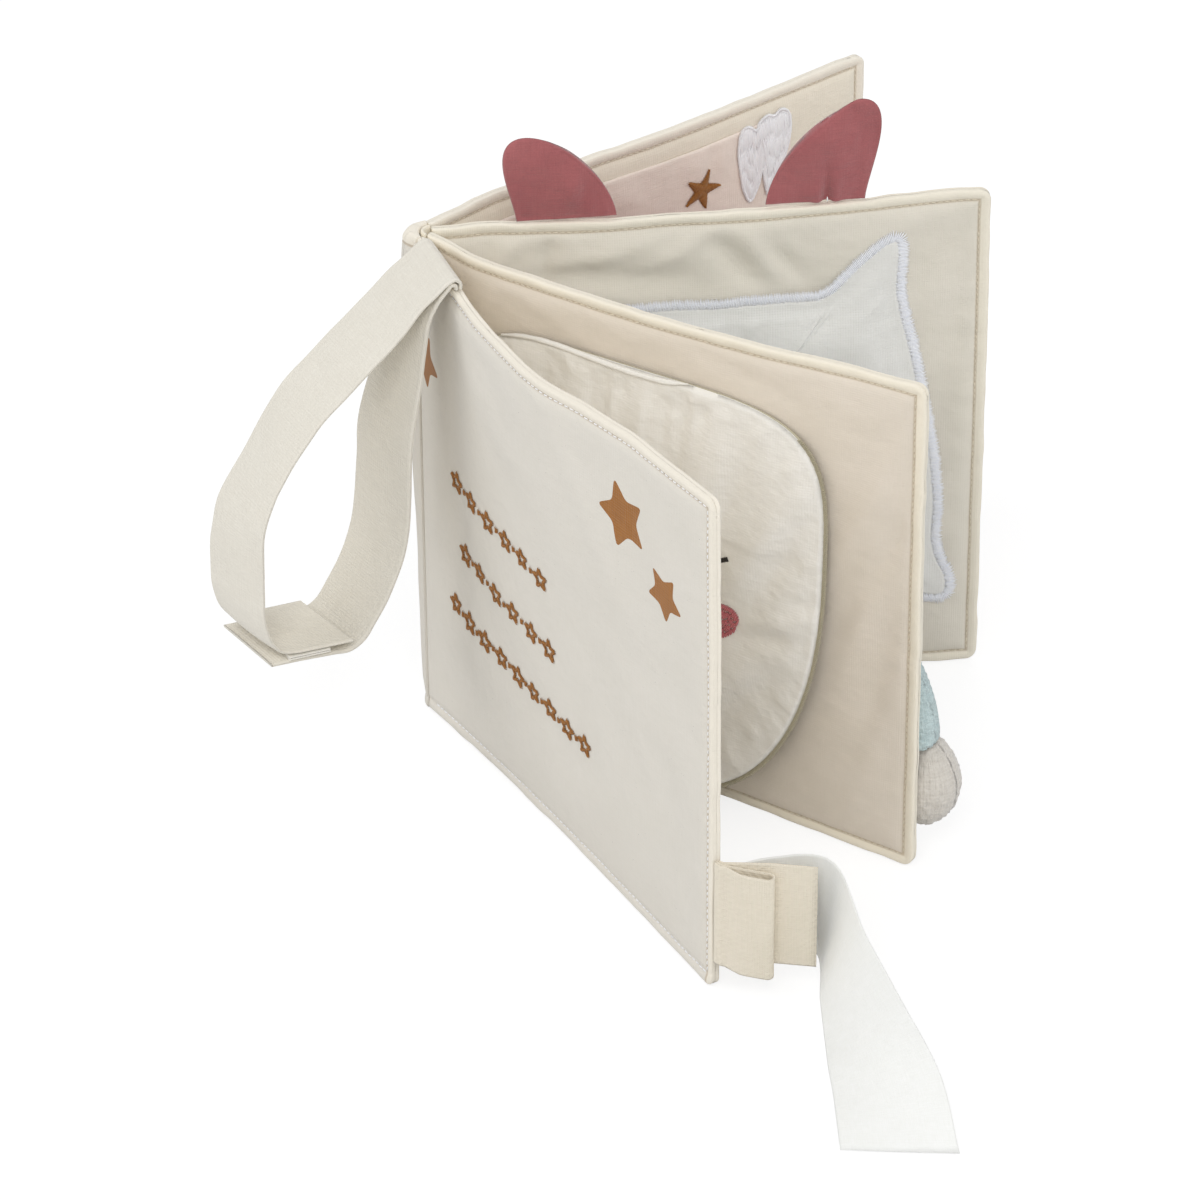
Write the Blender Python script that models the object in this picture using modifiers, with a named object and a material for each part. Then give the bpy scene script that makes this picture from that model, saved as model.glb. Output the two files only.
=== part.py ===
# A crinkle cloth book for a baby, standing fanned open on the lower edges of its four leaves.
# Metres, +Z up. The origin is in the foot of the spine cover's cloth, midway round its arc,
# and +X points along the middle of the fan, from the spine to the fore edges.
import math

import bmesh
import bpy
from mathutils import Matrix, Vector

# The leaves: a cover folio round an inner folio, four quilted leaves in all
LEAF_WIDTH = 0.180
LEAF_HEIGHT = 0.180
FABRIC = 0.0008
FILM = 0.0002
LAYER_GAP = 0.0003
CLEARANCE = 0.0003

# A leaf's edge: how far in from the edge, and half the thickness there
SEAM_HALF = 0.00045
NOSE_INSET = 0.00015
NOSE_HALF = 0.0010
ROLL_INSET = 0.0011
ROLL_HALF = 0.0016
STITCH_INSET = 0.0048
STITCH_HALF = 0.00095
QUILT_INSET = 0.0075
QUILT_HALF = 0.0019
CROWN_INSET = 0.020
CROWN_HALF = 0.0025
ROOT_CROWN_INSET = 0.042
MIDDLE_HALF = 0.0028
FOOT_RISE = 0.00003
ROOT_GAP = 0.00015
WADDING_INSET = 0.0095
FLEX_SHARES = [0.07, 0.145, 0.235, 0.345, 0.5, 0.665, 0.80]

# How the book stands: each leaf's direction, in degrees from +X, and its sway
# at the top and at the foot (towards the front where positive)
FAN_DEGREES = {"front_cover": -48.8, "first_page": -20.8, "second_page": 17.5, "back_cover": 48.8}
SWAY_TOP = {"front_cover": 0.0085, "first_page": 0.0060, "second_page": 0.0, "back_cover": -0.0038}
SWAY_FOOT = {"front_cover": -0.0020, "first_page": -0.0035, "second_page": 0.0, "back_cover": 0.0}
SWAY_PEAK_SHARE = 0.75
SWAY_EASE_SHARE = 1.3

# The spine
SPINE_FABRIC = 0.0016
FOLD_FABRIC = 0.0012
SPINE_STEPS = 10

# The carry strap, sewn into the front cover's top seam beside the spine
STRAP_WIDTH = 0.028
STRAP_INSET = 0.0085
STRAP_THICK = 0.0011
STRAP_DROP = 0.122
STRAP_REACH = 0.072
STRAP_HANG_REACH = 0.0235
STRAP_AXIS_BACK = 0.0015
SEAM_SEAT = 0.0006
TAPE_THICK = 0.0005
TAPE_LENGTH = 0.014
TAPE_REACH = 0.0530

# The labels in the front cover's fore edge
LABEL_THICK = 0.0006
LABEL_FOOT = 0.0115
LABEL_HEIGHT = 0.038
LABEL_PITCH = 0.0008
LABEL_BEND = 0.0010
BEND_REACH = 0.0024
TAB_REACH = 0.0170
TAB_FOLD = 0.0032
SHORT_LABEL_LENGTH = 0.031
LONG_LABEL_WIDTH = 0.036
LONG_LABEL_LENGTH = 0.118
LABEL_TURN_DEGREES = 65.0

# The lift-up face flap on the first page
FLAP_WIDTH = 0.135
FLAP_HEIGHT = 0.155
FLAP_MIDDLE = 0.081
FLAP_BROW = 0.056
FLAP_TOP_MARGIN = 0.0195
FLAP_FABRIC = 0.0006
FLAP_PUFF = 0.0011
FLAP_LIFT_DEGREES = 3.1
FLAP_FILL_SHARES = (0.5, 0.87)

# The pillow on the second page
PILLOW_TOP_WIDTH = 0.122
PILLOW_FOOT_WIDTH = 0.154
PILLOW_HEIGHT = 0.138
PILLOW_MIDDLE = 0.090
PILLOW_FOOT = 0.024
PILLOW_DIP = 0.018
PILLOW_FABRIC = 0.0006
PILLOW_PUFF = 0.0042
PILLOW_CORD_RADIUS = 0.0008
MITRE_SHARE = 0.4
PILLOW_DIP_SHARES = (0.25, 0.125, 1.0, 0.125)
PILLOW_SIDE_SHARE = 6

# The ears in the second page's top seam, and the head behind them
EAR_BASE = 0.032
EAR_THICK = 0.0046
EAR_SEAM_THICK = 0.0014
EAR_CROWN_SHARES = (0.15, 0.45)
EAR_REACH_SHARE = 0.55
EAR_TIP_SHARE = 0.8
EAR_LEAN_SHARE = 1.4
LEFT_EAR_PLACE = 0.0430
RIGHT_EAR_PLACE = 0.1225
LEFT_EAR_HEIGHT = 0.0300
RIGHT_EAR_HEIGHT = 0.0355
LEFT_EAR_LEAN = -0.0130
RIGHT_EAR_LEAN = 0.0140
HEAD_WIDTH = 0.112
HEAD_HEIGHT = 0.104
HEAD_MIDDLE = 0.083
HEAD_TOP_MARGIN = 0.009
HEAD_PUFF = 0.0020
HEAD_FABRIC = 0.0006
HEAD_FILL_SHARE = 0.85

# The knitted leg on the back of the first page
KNIT_RADIUS_TOP = 0.0055
KNIT_RADIUS_FOOT = 0.0086
KNIT_PATCH_WIDTH = 0.070
KNIT_PATCH_HEIGHT = 0.056
KNIT_PATCH_MIDDLE = 0.108
KNIT_PATCH_FOOT = 0.106
KNIT_FABRIC = 0.0012
KNIT_PATCH_PUFF = 0.0012
KNIT_FILL_SHARE = 0.55
LEG_TOP_INSET = 0.0440
LEG_TOP_HEIGHT = 0.1010
LEG_FOOT_INSET = 0.0085
LEG_FOOT_HEIGHT = 0.0405
LEG_CUFF = 0.0040
LEG_STEPS = 8
PAW_WIDTH = 0.0255
PAW_DEPTH = 0.0225
PAW_LENGTH = 0.0335
PAW_INSET = 0.0055
PAW_FOOT = 0.0085
PAW_SLIM_SHARE = 0.45
PAW_SLIM_START_SHARE = -0.05
PAW_SLIM_EASE_SHARE = 1.5

# The inset panel on the back cover's lining, with a small raised cloud
INSET_WIDTH = 0.137
INSET_MARGIN = 0.010
CLOUD_WIDTH = 0.022
CLOUD_HEIGHT = 0.030
CLOUD_PLACE = 0.1345
CLOUD_MIDDLE = 0.154
MOTIF_THICK = 0.0006
INSET_LINE_SHARES = (0, 0.1, 0.25, 0.42, 0.6, 0.8, 1)
CLOUD_LOBE_SHARE = 0.22
CLOUD_LOBES_SHARE = 2.5
CLOUD_LOBE_FOOT_SHARE = -0.3
CLOUD_FLAT_FOOT_SHARE = -0.75

HALF_PITCH = ROLL_HALF + ROOT_GAP
LEG_TOP_PLACE = LEAF_WIDTH - LEG_TOP_INSET
LEG_FOOT_PLACE = LEAF_WIDTH - LEG_FOOT_INSET
PAW_PLACE = LEAF_WIDTH - PAW_INSET
PATCH_STEPS = 8
SMOOTH_STEPS = 2
CREASE_DEGREES = 40

COLOURS = {
    "cover_cotton": (238, 236, 232),
    "lining_cotton": (235, 226, 208),
    "page_cotton": (230, 219, 200),
    "second_page_cotton": (226, 223, 208),
    "panel_cotton": (222, 205, 190),
    "white_wadding": (240, 240, 238),
    "crinkle_film": (225, 230, 235),
    "strap_twill": (242, 240, 230),
    "hook_tape": (243, 240, 235),
    "label_tape": (238, 230, 208),
    "label_satin": (240, 242, 242),
    "flap_cotton": (225, 224, 219),
    "flap_lining": (175, 170, 150),
    "pillow_cotton": (233, 236, 235),
    "satin_border": (228, 230, 248),
    "rose_cotton": (163, 92, 94),
    "blue_knit": (192, 212, 212),
    "white_plush": (228, 226, 222),
    "white_thread": (242, 242, 246),
}
ROUGHNESS = {"crinkle_film": 0.35, "label_satin": 0.45, "satin_border": 0.5, "white_thread": 0.5}
CLOTH_ROUGHNESS = 0.85


def linear(colour):
    """A colour given as 0 to 255 display values, as the linear values that a shader takes."""
    return tuple(((c / 255 + 0.055) / 1.055) ** 2.4 for c in colour) + (1.0,)


def material(name):
    """One Principled material for each cloth, made once."""
    made = bpy.data.materials.get(name)
    if made is None:
        made = bpy.data.materials.new(name)
        made.use_nodes = True
        shader = made.node_tree.nodes["Principled BSDF"]
        shader.inputs["Base Color"].default_value = linear(COLOURS[name])
        shader.inputs["Roughness"].default_value = ROUGHNESS.get(name, CLOTH_ROUGHNESS)
        shader.inputs["Metallic"].default_value = 0.0
        made.diffuse_color = linear(COLOURS[name])
    return made


def clear_scene():
    for thing in list(bpy.data.objects):
        bpy.data.objects.remove(thing, do_unlink=True)


def new_collection(name):
    made = bpy.data.collections.new(name)
    bpy.context.scene.collection.children.link(made)
    return made


def keep(name, bm, cloth, body):
    """Turns a bmesh into a named part of the book, on its body's empty."""
    bmesh.ops.recalc_face_normals(bm, faces=bm.faces)
    mesh = bpy.data.meshes.new(name)
    bm.to_mesh(mesh)
    bm.free()
    mesh.shade_smooth()
    mesh.set_sharp_from_angle(angle=math.radians(CREASE_DEGREES))
    return keep_object(bpy.data.objects.new(name, mesh), cloth, body)


def keep_object(piece, cloth, body):
    piece.data.materials.clear()
    piece.data.materials.append(material(cloth))
    BOOK.objects.link(piece)
    piece.parent = BODIES[body]
    return piece


def steps_between(low, high, count):
    return [low + (high - low) * i / count for i in range(count + 1)]


def read_profile(profile, at):
    """Reads a value off a list of (place, value) pairs, with straight lines between them."""
    for (low, below), (high, above) in zip(profile, profile[1:]):
        if at <= high:
            return below + (above - below) * max(at - low, 0) / (high - low)
    return profile[-1][1]


# A leaf's shape: its thickness and its sway

EDGE_PROFILE = [
    (0, SEAM_HALF),
    (NOSE_INSET, NOSE_HALF),
    (ROLL_INSET, ROLL_HALF),
    (STITCH_INSET, STITCH_HALF),
    (QUILT_INSET, QUILT_HALF),
    (CROWN_INSET, CROWN_HALF),
    (LEAF_WIDTH / 2, MIDDLE_HALF),
]
FOOT_PROFILE = [(0, SEAM_HALF), (FOOT_RISE, NOSE_HALF)] + EDGE_PROFILE[2:]
ROOT_PROFILE = [
    (ROOT_GAP, SEAM_HALF),
    (ROOT_GAP + NOSE_INSET, NOSE_HALF),
    (ROLL_INSET, ROLL_HALF),
    (ROOT_CROWN_INSET, CROWN_HALF),
    (LEAF_WIDTH / 2, MIDDLE_HALF),
]
SMOOTH_PROFILE = [(0, ROLL_HALF)] + EDGE_PROFILE[4:]


def half_thickness(along, height):
    return min(
        read_profile(ROOT_PROFILE, along),
        read_profile(EDGE_PROFILE, LEAF_WIDTH - along),
        read_profile(FOOT_PROFILE, height),
        read_profile(EDGE_PROFILE, LEAF_HEIGHT - height),
    )


def smooth_half(along, height):
    """Half the leaf's thickness without its stitch groove, for what lies on it."""
    return min(
        read_profile(ROOT_PROFILE, along),
        read_profile(SMOOTH_PROFILE, LEAF_WIDTH - along),
        read_profile(SMOOTH_PROFILE, height),
        read_profile(SMOOTH_PROFILE, LEAF_HEIGHT - height),
    )


def sway(leaf, along, height):
    """How far a leaf's middle stands in front of its flat plane."""
    share = min(max(along / LEAF_WIDTH, 0), 1)
    reach = SWAY_FOOT[leaf] + (SWAY_TOP[leaf] - SWAY_FOOT[leaf]) * height / LEAF_HEIGHT
    return reach * max(math.sin(math.pi * share**SWAY_PEAK_SHARE), 0) ** SWAY_EASE_SHARE


def middle(leaf):
    """A leaf's flat plane, from its hinge line: its back face meets the hinge."""
    return 0 if leaf == "back_cover" else -HALF_PITCH


def in_front(leaf, proud):
    """A surface that stands proud of a leaf's front face."""
    return lambda a, h: middle(leaf) - sway(leaf, a, h) - smooth_half(a, h) - proud(a, h)


def behind(leaf, proud):
    return lambda a, h: middle(leaf) - sway(leaf, a, h) + smooth_half(a, h) + proud(a, h)


# Solids between two surfaces that share one grid

def slab(name, columns, rows, place, one_side, other_side, cloth, body):
    """A closed sheet between two surfaces over a grid: place(i, j) gives along and height."""
    bm = bmesh.new()
    rims = []
    for surface in (one_side, other_side):
        made = bmesh.ops.create_grid(bm, x_segments=columns, y_segments=rows, size=1)["verts"]
        for vert in made:
            i = round((vert.co.x + 1) / 2 * columns)
            j = round((vert.co.y + 1) / 2 * rows)
            along, height = place(i, j)
            vert.co = Vector((along, surface(along, height), height)) - SEATS[body]
        ours = set(made)
        rims += [e for e in bm.edges if e.is_boundary and e.verts[0] in ours]
    bmesh.ops.bridge_loops(bm, edges=rims)
    return keep(name, bm, cloth, body)


def on_lines(alongs, heights):
    return lambda i, j: (alongs[i], heights[j])


def rings_in(outline, centre, count):
    """Maps a square grid onto a closed outline, as rings drawn in towards its centre."""
    def place(i, j):
        x = 2 * i / count - 1
        y = 2 * j / count - 1
        reach = max(abs(x), abs(y))
        if reach == 0:
            return centre
        x, y = x / reach, y / reach
        if y <= -1:
            point = outline(0, (x + 1) / 2)
        elif x >= 1:
            point = outline(1, (y + 1) / 2)
        elif y >= 1:
            point = outline(2, (1 - x) / 2)
        else:
            point = outline(3, (1 - y) / 2)
        return tuple(c + (p - c) * reach for c, p in zip(centre, point))
    return place


def oval(centre, width, height, top_share=1.0, foot_share=1.0):
    """An oval outline as four sides; a share under 1 fills out its upper or lower corners."""
    def outline(side, share):
        turn = math.radians(225 + 90 * side + 90 * share)
        x, y = math.cos(turn), math.sin(turn)
        fill = top_share if y > 0 else foot_share
        x = math.copysign(abs(x) ** fill, x)
        y = math.copysign(abs(y) ** fill, y)
        return centre[0] + x * width / 2, centre[1] + y * height / 2
    return outline


def puff(centre, width, height, rise):
    """A puffed surface: its rise at the centre, falling to nothing at the rim."""
    def proud(along, up):
        share = math.hypot((along - centre[0]) / (width / 2), (up - centre[1]) / (height / 2))
        return rise * (1 - min(share, 1) ** 3)
    return proud


def plus(*parts):
    """Adds up heights, each a length or a surface of them."""
    return lambda a, h: sum(part(a, h) if callable(part) else part for part in parts)


# The bodies: one empty for each, on its joint's axis

def leaf_directions(leaf):
    """The way a leaf runs from the spine and the way its front faces."""
    turn = math.radians(FAN_DEGREES[leaf])
    return Vector((math.cos(turn), math.sin(turn), 0)), Vector((math.sin(turn), -math.cos(turn), 0))


def spine_places():
    """The leaves' hinge lines, and the spine cover's arc: its centre, radius and half its turn."""
    front = {leaf: leaf_directions(leaf)[1] for leaf in FAN_DEGREES}
    fold = Vector((0, 0, 0))
    second = fold - front["second_page"] * 2 * HALF_PITCH
    root = second - front["back_cover"] * HALF_PITCH
    first = fold + front["first_page"] * 2 * HALF_PITCH
    back_face = root - front["back_cover"] * ROLL_HALF
    front_face = first + front["front_cover"] * (HALF_PITCH + ROLL_HALF)
    half_turn = math.radians(180 - FAN_DEGREES["back_cover"] + FAN_DEGREES["front_cover"]) / 2
    radius = (back_face - front_face).length / 2 / math.sin(half_turn)
    chord = (back_face + front_face) / 2
    centre = chord + Vector((radius * math.cos(half_turn), 0, 0))
    shift = Vector((radius - SPINE_FABRIC / 2 - centre.x, -centre.y, 0))
    places = {
        "back_cover": root + shift,
        "second_page": second + shift,
        "first_page": fold + shift,
        "front_cover": first + shift,
    }
    return places, centre + shift, radius, half_turn


def top_seam(leaf, along):
    """A point on the middle of a leaf's top seam, in that leaf's frame."""
    return Vector((along, middle(leaf) - sway(leaf, along, LEAF_HEIGHT), LEAF_HEIGHT))


def strap_seat():
    """The strap's axis: along the top seam, just behind the two sewn ends."""
    start = top_seam("front_cover", STRAP_INSET)
    run = top_seam("front_cover", STRAP_INSET + STRAP_WIDTH) - start
    turn = Matrix.Rotation(math.atan2(run.y, run.x), 4, "Z")
    lift = Vector((0, STRAP_AXIS_BACK, SEAM_SEAT))
    return Matrix.Translation(start) @ turn @ Matrix.Translation(lift)


CARRIERS = {
    "back_cover": None,
    "second_page": "back_cover",
    "first_page": "second_page",
    "front_cover": "first_page",
    "strap": "front_cover",
    "strap_end": "strap",
    "labels": "front_cover",
    "face_flap": "first_page",
    "leg": "first_page",
    "left_ear": "second_page",
    "right_ear": "second_page",
}
FLAP_TOP = LEAF_HEIGHT - FLAP_TOP_MARGIN
FLAP_CENTRE = (FLAP_MIDDLE, FLAP_TOP - FLAP_HEIGHT / 2)


def leg_reach(height):
    """How far the leg's middle stands behind the first page's back face at a height."""
    share = (LEG_TOP_HEIGHT - height) / (LEG_TOP_HEIGHT - LEG_FOOT_HEIGHT)
    radius = KNIT_RADIUS_TOP + (KNIT_RADIUS_FOOT - KNIT_RADIUS_TOP) * share
    return radius + CLEARANCE * (1 + 2 * share)


def body_seats():
    """Where each smaller body's axis lies in the frame of the leaf that carries it."""
    seats = {leaf: Matrix() for leaf in FAN_DEGREES}
    seats["strap"] = seats["strap_end"] = strap_seat()
    seats["labels"] = Matrix.Translation((LEAF_WIDTH + CLEARANCE, middle("front_cover"), 0))
    flap_face = in_front("first_page", plus(2 * CLEARANCE))(FLAP_MIDDLE, FLAP_TOP)
    seats["face_flap"] = Matrix.Translation((FLAP_MIDDLE, flap_face, FLAP_TOP))
    leg_face = behind("first_page", plus(leg_reach(LEG_TOP_HEIGHT)))(LEG_TOP_PLACE, LEG_TOP_HEIGHT)
    seats["leg"] = Matrix.Translation((LEG_TOP_PLACE, leg_face, LEG_TOP_HEIGHT))
    for ear, place in (("left_ear", LEFT_EAR_PLACE), ("right_ear", RIGHT_EAR_PLACE)):
        lift = Vector((0, 0, SEAM_SEAT))
        seats[ear] = Matrix.Translation(top_seam("second_page", place) + lift)
    return seats


def leaf_of(body):
    while body not in FAN_DEGREES:
        body = CARRIERS[body]
    return body


def make_bodies():
    """Empties on the joint axes, each under the body that carries it."""
    places = spine_places()[0]
    world = {}
    for body, seat in body_seats().items():
        leaf = leaf_of(body)
        turn = Matrix.Rotation(math.radians(FAN_DEGREES[leaf]), 4, "Z")
        world[body] = Matrix.Translation(places[leaf]) @ turn @ seat
        SEATS[body] = seat.to_translation()
    for body, carrier in CARRIERS.items():
        empty = bpy.data.objects.new(body + "_axis", None)
        empty.empty_display_size = LEAF_WIDTH / 8
        BOOK.objects.link(empty)
        empty.matrix_local = world[body]
        if carrier:
            empty.parent = BODIES[carrier]
            empty.matrix_local = world[carrier].inverted() @ world[body]
        BODIES[body] = empty
    return world


# The leaves

def leaf_lines():
    """The places along and up a leaf where its panels bend."""
    far = [CROWN_INSET, QUILT_INSET, STITCH_INSET, ROLL_INSET, NOSE_INSET, 0]
    alongs = [ROOT_GAP, ROOT_GAP + NOSE_INSET, ROLL_INSET, STITCH_INSET, QUILT_INSET]
    alongs += [LEAF_WIDTH * share for share in FLEX_SHARES]
    heights = [0, FOOT_RISE, ROLL_INSET, STITCH_INSET, QUILT_INSET, CROWN_INSET, LEAF_HEIGHT / 2]
    return alongs + [LEAF_WIDTH - inset for inset in far], heights + [LEAF_HEIGHT - inset for inset in far]


def inner_half(along, height):
    """Half the space between a leaf's two panels: closed where the turned edges lie."""
    inset = min(along, LEAF_WIDTH - along, height, LEAF_HEIGHT - height)
    if inset < (QUILT_INSET + STITCH_INSET) / 2:
        return LAYER_GAP / 2
    return half_thickness(along, height) - FABRIC


def make_leaf(leaf, front_name, back_name, front_cloth, back_cloth):
    """Two panels, sewn edge to edge, with the wadding and the crinkle film between them."""
    alongs, heights = leaf_lines()
    lines = on_lines(alongs, heights)
    columns, rows = len(alongs) - 1, len(heights) - 1

    def layer(offset, sign=1):
        """A surface at an offset towards the back from the leaf's swaying middle."""
        return lambda a, h: middle(leaf) - sway(leaf, a, h) + sign * offset(a, h)

    def filling(drop):
        return lambda a, h: half_thickness(a, h) - FABRIC - LAYER_GAP - drop

    front = layer(half_thickness, -1), layer(inner_half, -1)
    slab(f"{leaf}_{front_name}", columns, rows, lines, *front, front_cloth, leaf)
    back = layer(inner_half), layer(half_thickness)
    slab(f"{leaf}_{back_name}", columns, rows, lines, *back, back_cloth, leaf)

    inner_alongs = [WADDING_INSET] + [a for a in alongs if WADDING_INSET < a < LEAF_WIDTH - WADDING_INSET]
    inner_alongs.append(LEAF_WIDTH - WADDING_INSET)
    inner_heights = [WADDING_INSET, CROWN_INSET, LEAF_HEIGHT / 2]
    inner_heights += [LEAF_HEIGHT - CROWN_INSET, LEAF_HEIGHT - WADDING_INSET]
    lines = on_lines(inner_alongs, inner_heights)
    columns, rows = len(inner_alongs) - 1, len(inner_heights) - 1
    wadding = layer(filling(FILM + LAYER_GAP), -1), layer(filling(0))
    slab(f"{leaf}_wadding", columns, rows, lines, *wadding, "white_wadding", leaf)
    film = layer(filling(0), -1), layer(filling(FILM), -1)
    slab(f"{leaf}_crinkle_film", columns, rows, lines, *film, "crinkle_film", leaf)


# The spine

def raise_outline(bm, outline, rise):
    """Turns a flat outline of points into a closed prism."""
    sole = bm.faces.new([bm.verts.new(point) for point in outline])
    raised = bmesh.ops.extrude_face_region(bm, geom=[sole])["geom"]
    top = [v for v in raised if isinstance(v, bmesh.types.BMVert)]
    bmesh.ops.translate(bm, vec=rise, verts=top)


def arc_shell(name, centre, radius, thickness, middle_turn, half_turn, cloth, body, world):
    """An upright arc of cloth, its outer face at the radius, as tall as the leaves."""
    turns = steps_between(middle_turn - half_turn, middle_turn + half_turn, SPINE_STEPS)
    ring = [(radius, turn) for turn in turns]
    ring += [(radius - thickness, turn) for turn in reversed(turns)]
    outline = [
        centre + Vector((reach * math.cos(turn), reach * math.sin(turn), 0)) for reach, turn in ring
    ]
    bm = bmesh.new()
    into_body = world[body].inverted()
    raise_outline(bm, [into_body @ point for point in outline], Vector((0, 0, LEAF_HEIGHT)))
    return keep(name, bm, cloth, body)


def make_spine(world):
    """The cover's back, round the fold of the inner folio, which is sewn into it."""
    places, centre, radius, half_turn = spine_places()
    ease = CLEARANCE / radius
    arc_shell(
        "spine_cover", centre, radius, SPINE_FABRIC, math.pi, half_turn - ease,
        "cover_cotton", "back_cover", world,
    )
    fold_radius = HALF_PITCH + ROLL_HALF + ROOT_GAP
    second = math.radians(90 + FAN_DEGREES["second_page"])
    first = math.radians(270 + FAN_DEGREES["first_page"])
    fold_ease = CLEARANCE / fold_radius
    arc_shell(
        "folio_fold", places["first_page"], fold_radius, FOLD_FABRIC,
        (first + second) / 2, (first - second) / 2 - fold_ease, "page_cotton", "second_page", world,
    )


# Bands of tape along a route

def smooth_route(points):
    """A smooth curve through the points, with SMOOTH_STEPS steps between each two."""
    runs = [two - one for one, two in zip(points, points[1:])]
    slopes = [run.normalized() for run in runs]
    tangents = [slopes[0]]
    for one, two, before, after in zip(runs, runs[1:], slopes, slopes[1:]):
        tangents.append((before * two.length + after * one.length) / (one.length + two.length))
    tangents.append(slopes[-1])
    route = []
    for i, run in enumerate(runs):
        for k in range(SMOOTH_STEPS):
            t = k / SMOOTH_STEPS
            point = points[i] + run * (3 - 2 * t) * t**2
            point += tangents[i] * run.length * t * (1 - t) ** 2
            route.append(point - tangents[i + 1] * run.length * (1 - t) * t**2)
    route.append(points[-1])
    return route


def band(name, route, thickness, width, cloth, body):
    """A flat band along a route in the YZ plane, as wide as given along X."""
    sides = []
    for offset in (thickness / 2, -thickness / 2):
        line = []
        for i, point in enumerate(route):
            run = (route[min(i + 1, len(route) - 1)] - route[max(i - 1, 0)]).normalized()
            line.append(point + Vector((0, -run.z, run.y)) * offset)
        sides.append(line)
    bm = bmesh.new()
    raise_outline(bm, sides[0] + sides[1][::-1], Vector((width, 0, 0)))
    return keep(name, bm, cloth, body)


# The strap: a folded band whose two ends are sewn into the top seam, and whose halves
# meet in hook and loop tape at the bottom. Shares of its reach and of its drop.
INNER_HALF_SHARES = [
    (0.030, 0.0), (0.034, -0.009), (0.085, -0.014), (0.150, -0.004), (0.213, 0.03), (0.383, 0.12),
    (0.562, 0.22), (0.745, 0.32), (0.889, 0.436), (0.962, 0.584), (1.0, 0.68), (1.085, 0.776),
    (1.234, 0.852), (1.468, 0.930), (1.66, 0.982), (1.82, 1.0), (2.05, 1.0), (2.36, 1.0),
    (2.70, 1.0), (2.94, 1.0),
]
OUTER_HALF_SHARES = [
    (-0.010, 0.0), (-0.0097, -0.015), (0.014, -0.029), (0.056, -0.025), (0.104, -0.006),
    (0.167, 0.028), (0.278, 0.098), (0.358, 0.143), (0.44, 0.185), (0.55, 0.246), (0.66, 0.304),
    (0.754, 0.375), (0.851, 0.47), (0.915, 0.54), (0.964, 0.61), (0.99, 0.70), (1.0, 0.80),
    (0.998, 0.90), (0.97, 0.96), (0.92, 0.993), (0.86, 1.0), (0.77, 1.0), (0.68, 1.0), (0.59, 1.0),
]


def strap_route(shares, reach, drop):
    points = [Vector((0, -(out * reach + STRAP_AXIS_BACK), -down * drop)) for out, down in shares]
    return smooth_route(points)


def make_strap():
    """The inner half hangs near the cover, and the outer half's end lies on top of its end."""
    overlap = STRAP_THICK + 2 * TAPE_THICK + 3 * CLEARANCE
    inner = strap_route(INNER_HALF_SHARES, STRAP_HANG_REACH, STRAP_DROP + overlap)
    outer = strap_route(OUTER_HALF_SHARES, STRAP_REACH, STRAP_DROP)
    band("strap_inner_half", inner, STRAP_THICK, STRAP_WIDTH, "strap_twill", "strap")
    band("strap_outer_half", outer, STRAP_THICK, STRAP_WIDTH, "strap_twill", "strap_end")
    step = STRAP_THICK / 2 + CLEARANCE + TAPE_THICK / 2
    for name, level, body in (
        ("strap_loop_tape", -STRAP_DROP - overlap + step, "strap"),
        ("strap_hook_tape", -STRAP_DROP - step, "strap_end"),
    ):
        ends = TAPE_REACH - TAPE_LENGTH / 2, TAPE_REACH + TAPE_LENGTH / 2
        run = [Vector((0, -(end + STRAP_AXIS_BACK), level)) for end in ends]
        band(name, run, TAPE_THICK, STRAP_WIDTH, "hook_tape", body)


# The labels: each a strip between a lower and an upper edge, thickened
LOWER_EDGE_SHARES = [
    (0.030, 0.127, 0.283), (0.068, 0.254, 0.236), (0.214, 0.184, 0.083),
    (0.370, 0.104, 0.0), (0.551, 0.013, 0.0), (0.735, -0.085, 0.0),
]
UPPER_EDGE_SHARES = [
    (0.034, 0.127, 1.306), (0.110, 0.263, 1.292), (0.339, 0.237, 1.0),
    (0.542, 0.225, 0.722), (0.737, 0.216, 0.389), (0.903, 0.168, 0.0),
]
DROOP_SHARE = 0.30
SHORT_ASIDE_SHARE = 0.12
TAB_LINE_SHARES = (0.4, 1)
SHORT_LINE_SHARES = (0.45, 0.7, 1)


def strip(name, lower, upper, cloth):
    """A strip of tape between two edges with as many points each."""
    count = len(lower) - 1
    bm = bmesh.new()
    for vert in bmesh.ops.create_grid(bm, x_segments=count, y_segments=2, size=1)["verts"]:
        i = round((vert.co.x + 1) / 2 * count)
        vert.co = lower[i].lerp(upper[i], (vert.co.y + 1) / 2)
    piece = keep(name, bm, cloth, "labels")
    skin = piece.modifiers.new("tape", "SOLIDIFY")
    skin.thickness = LABEL_THICK
    skin.offset = 0
    return piece


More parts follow.
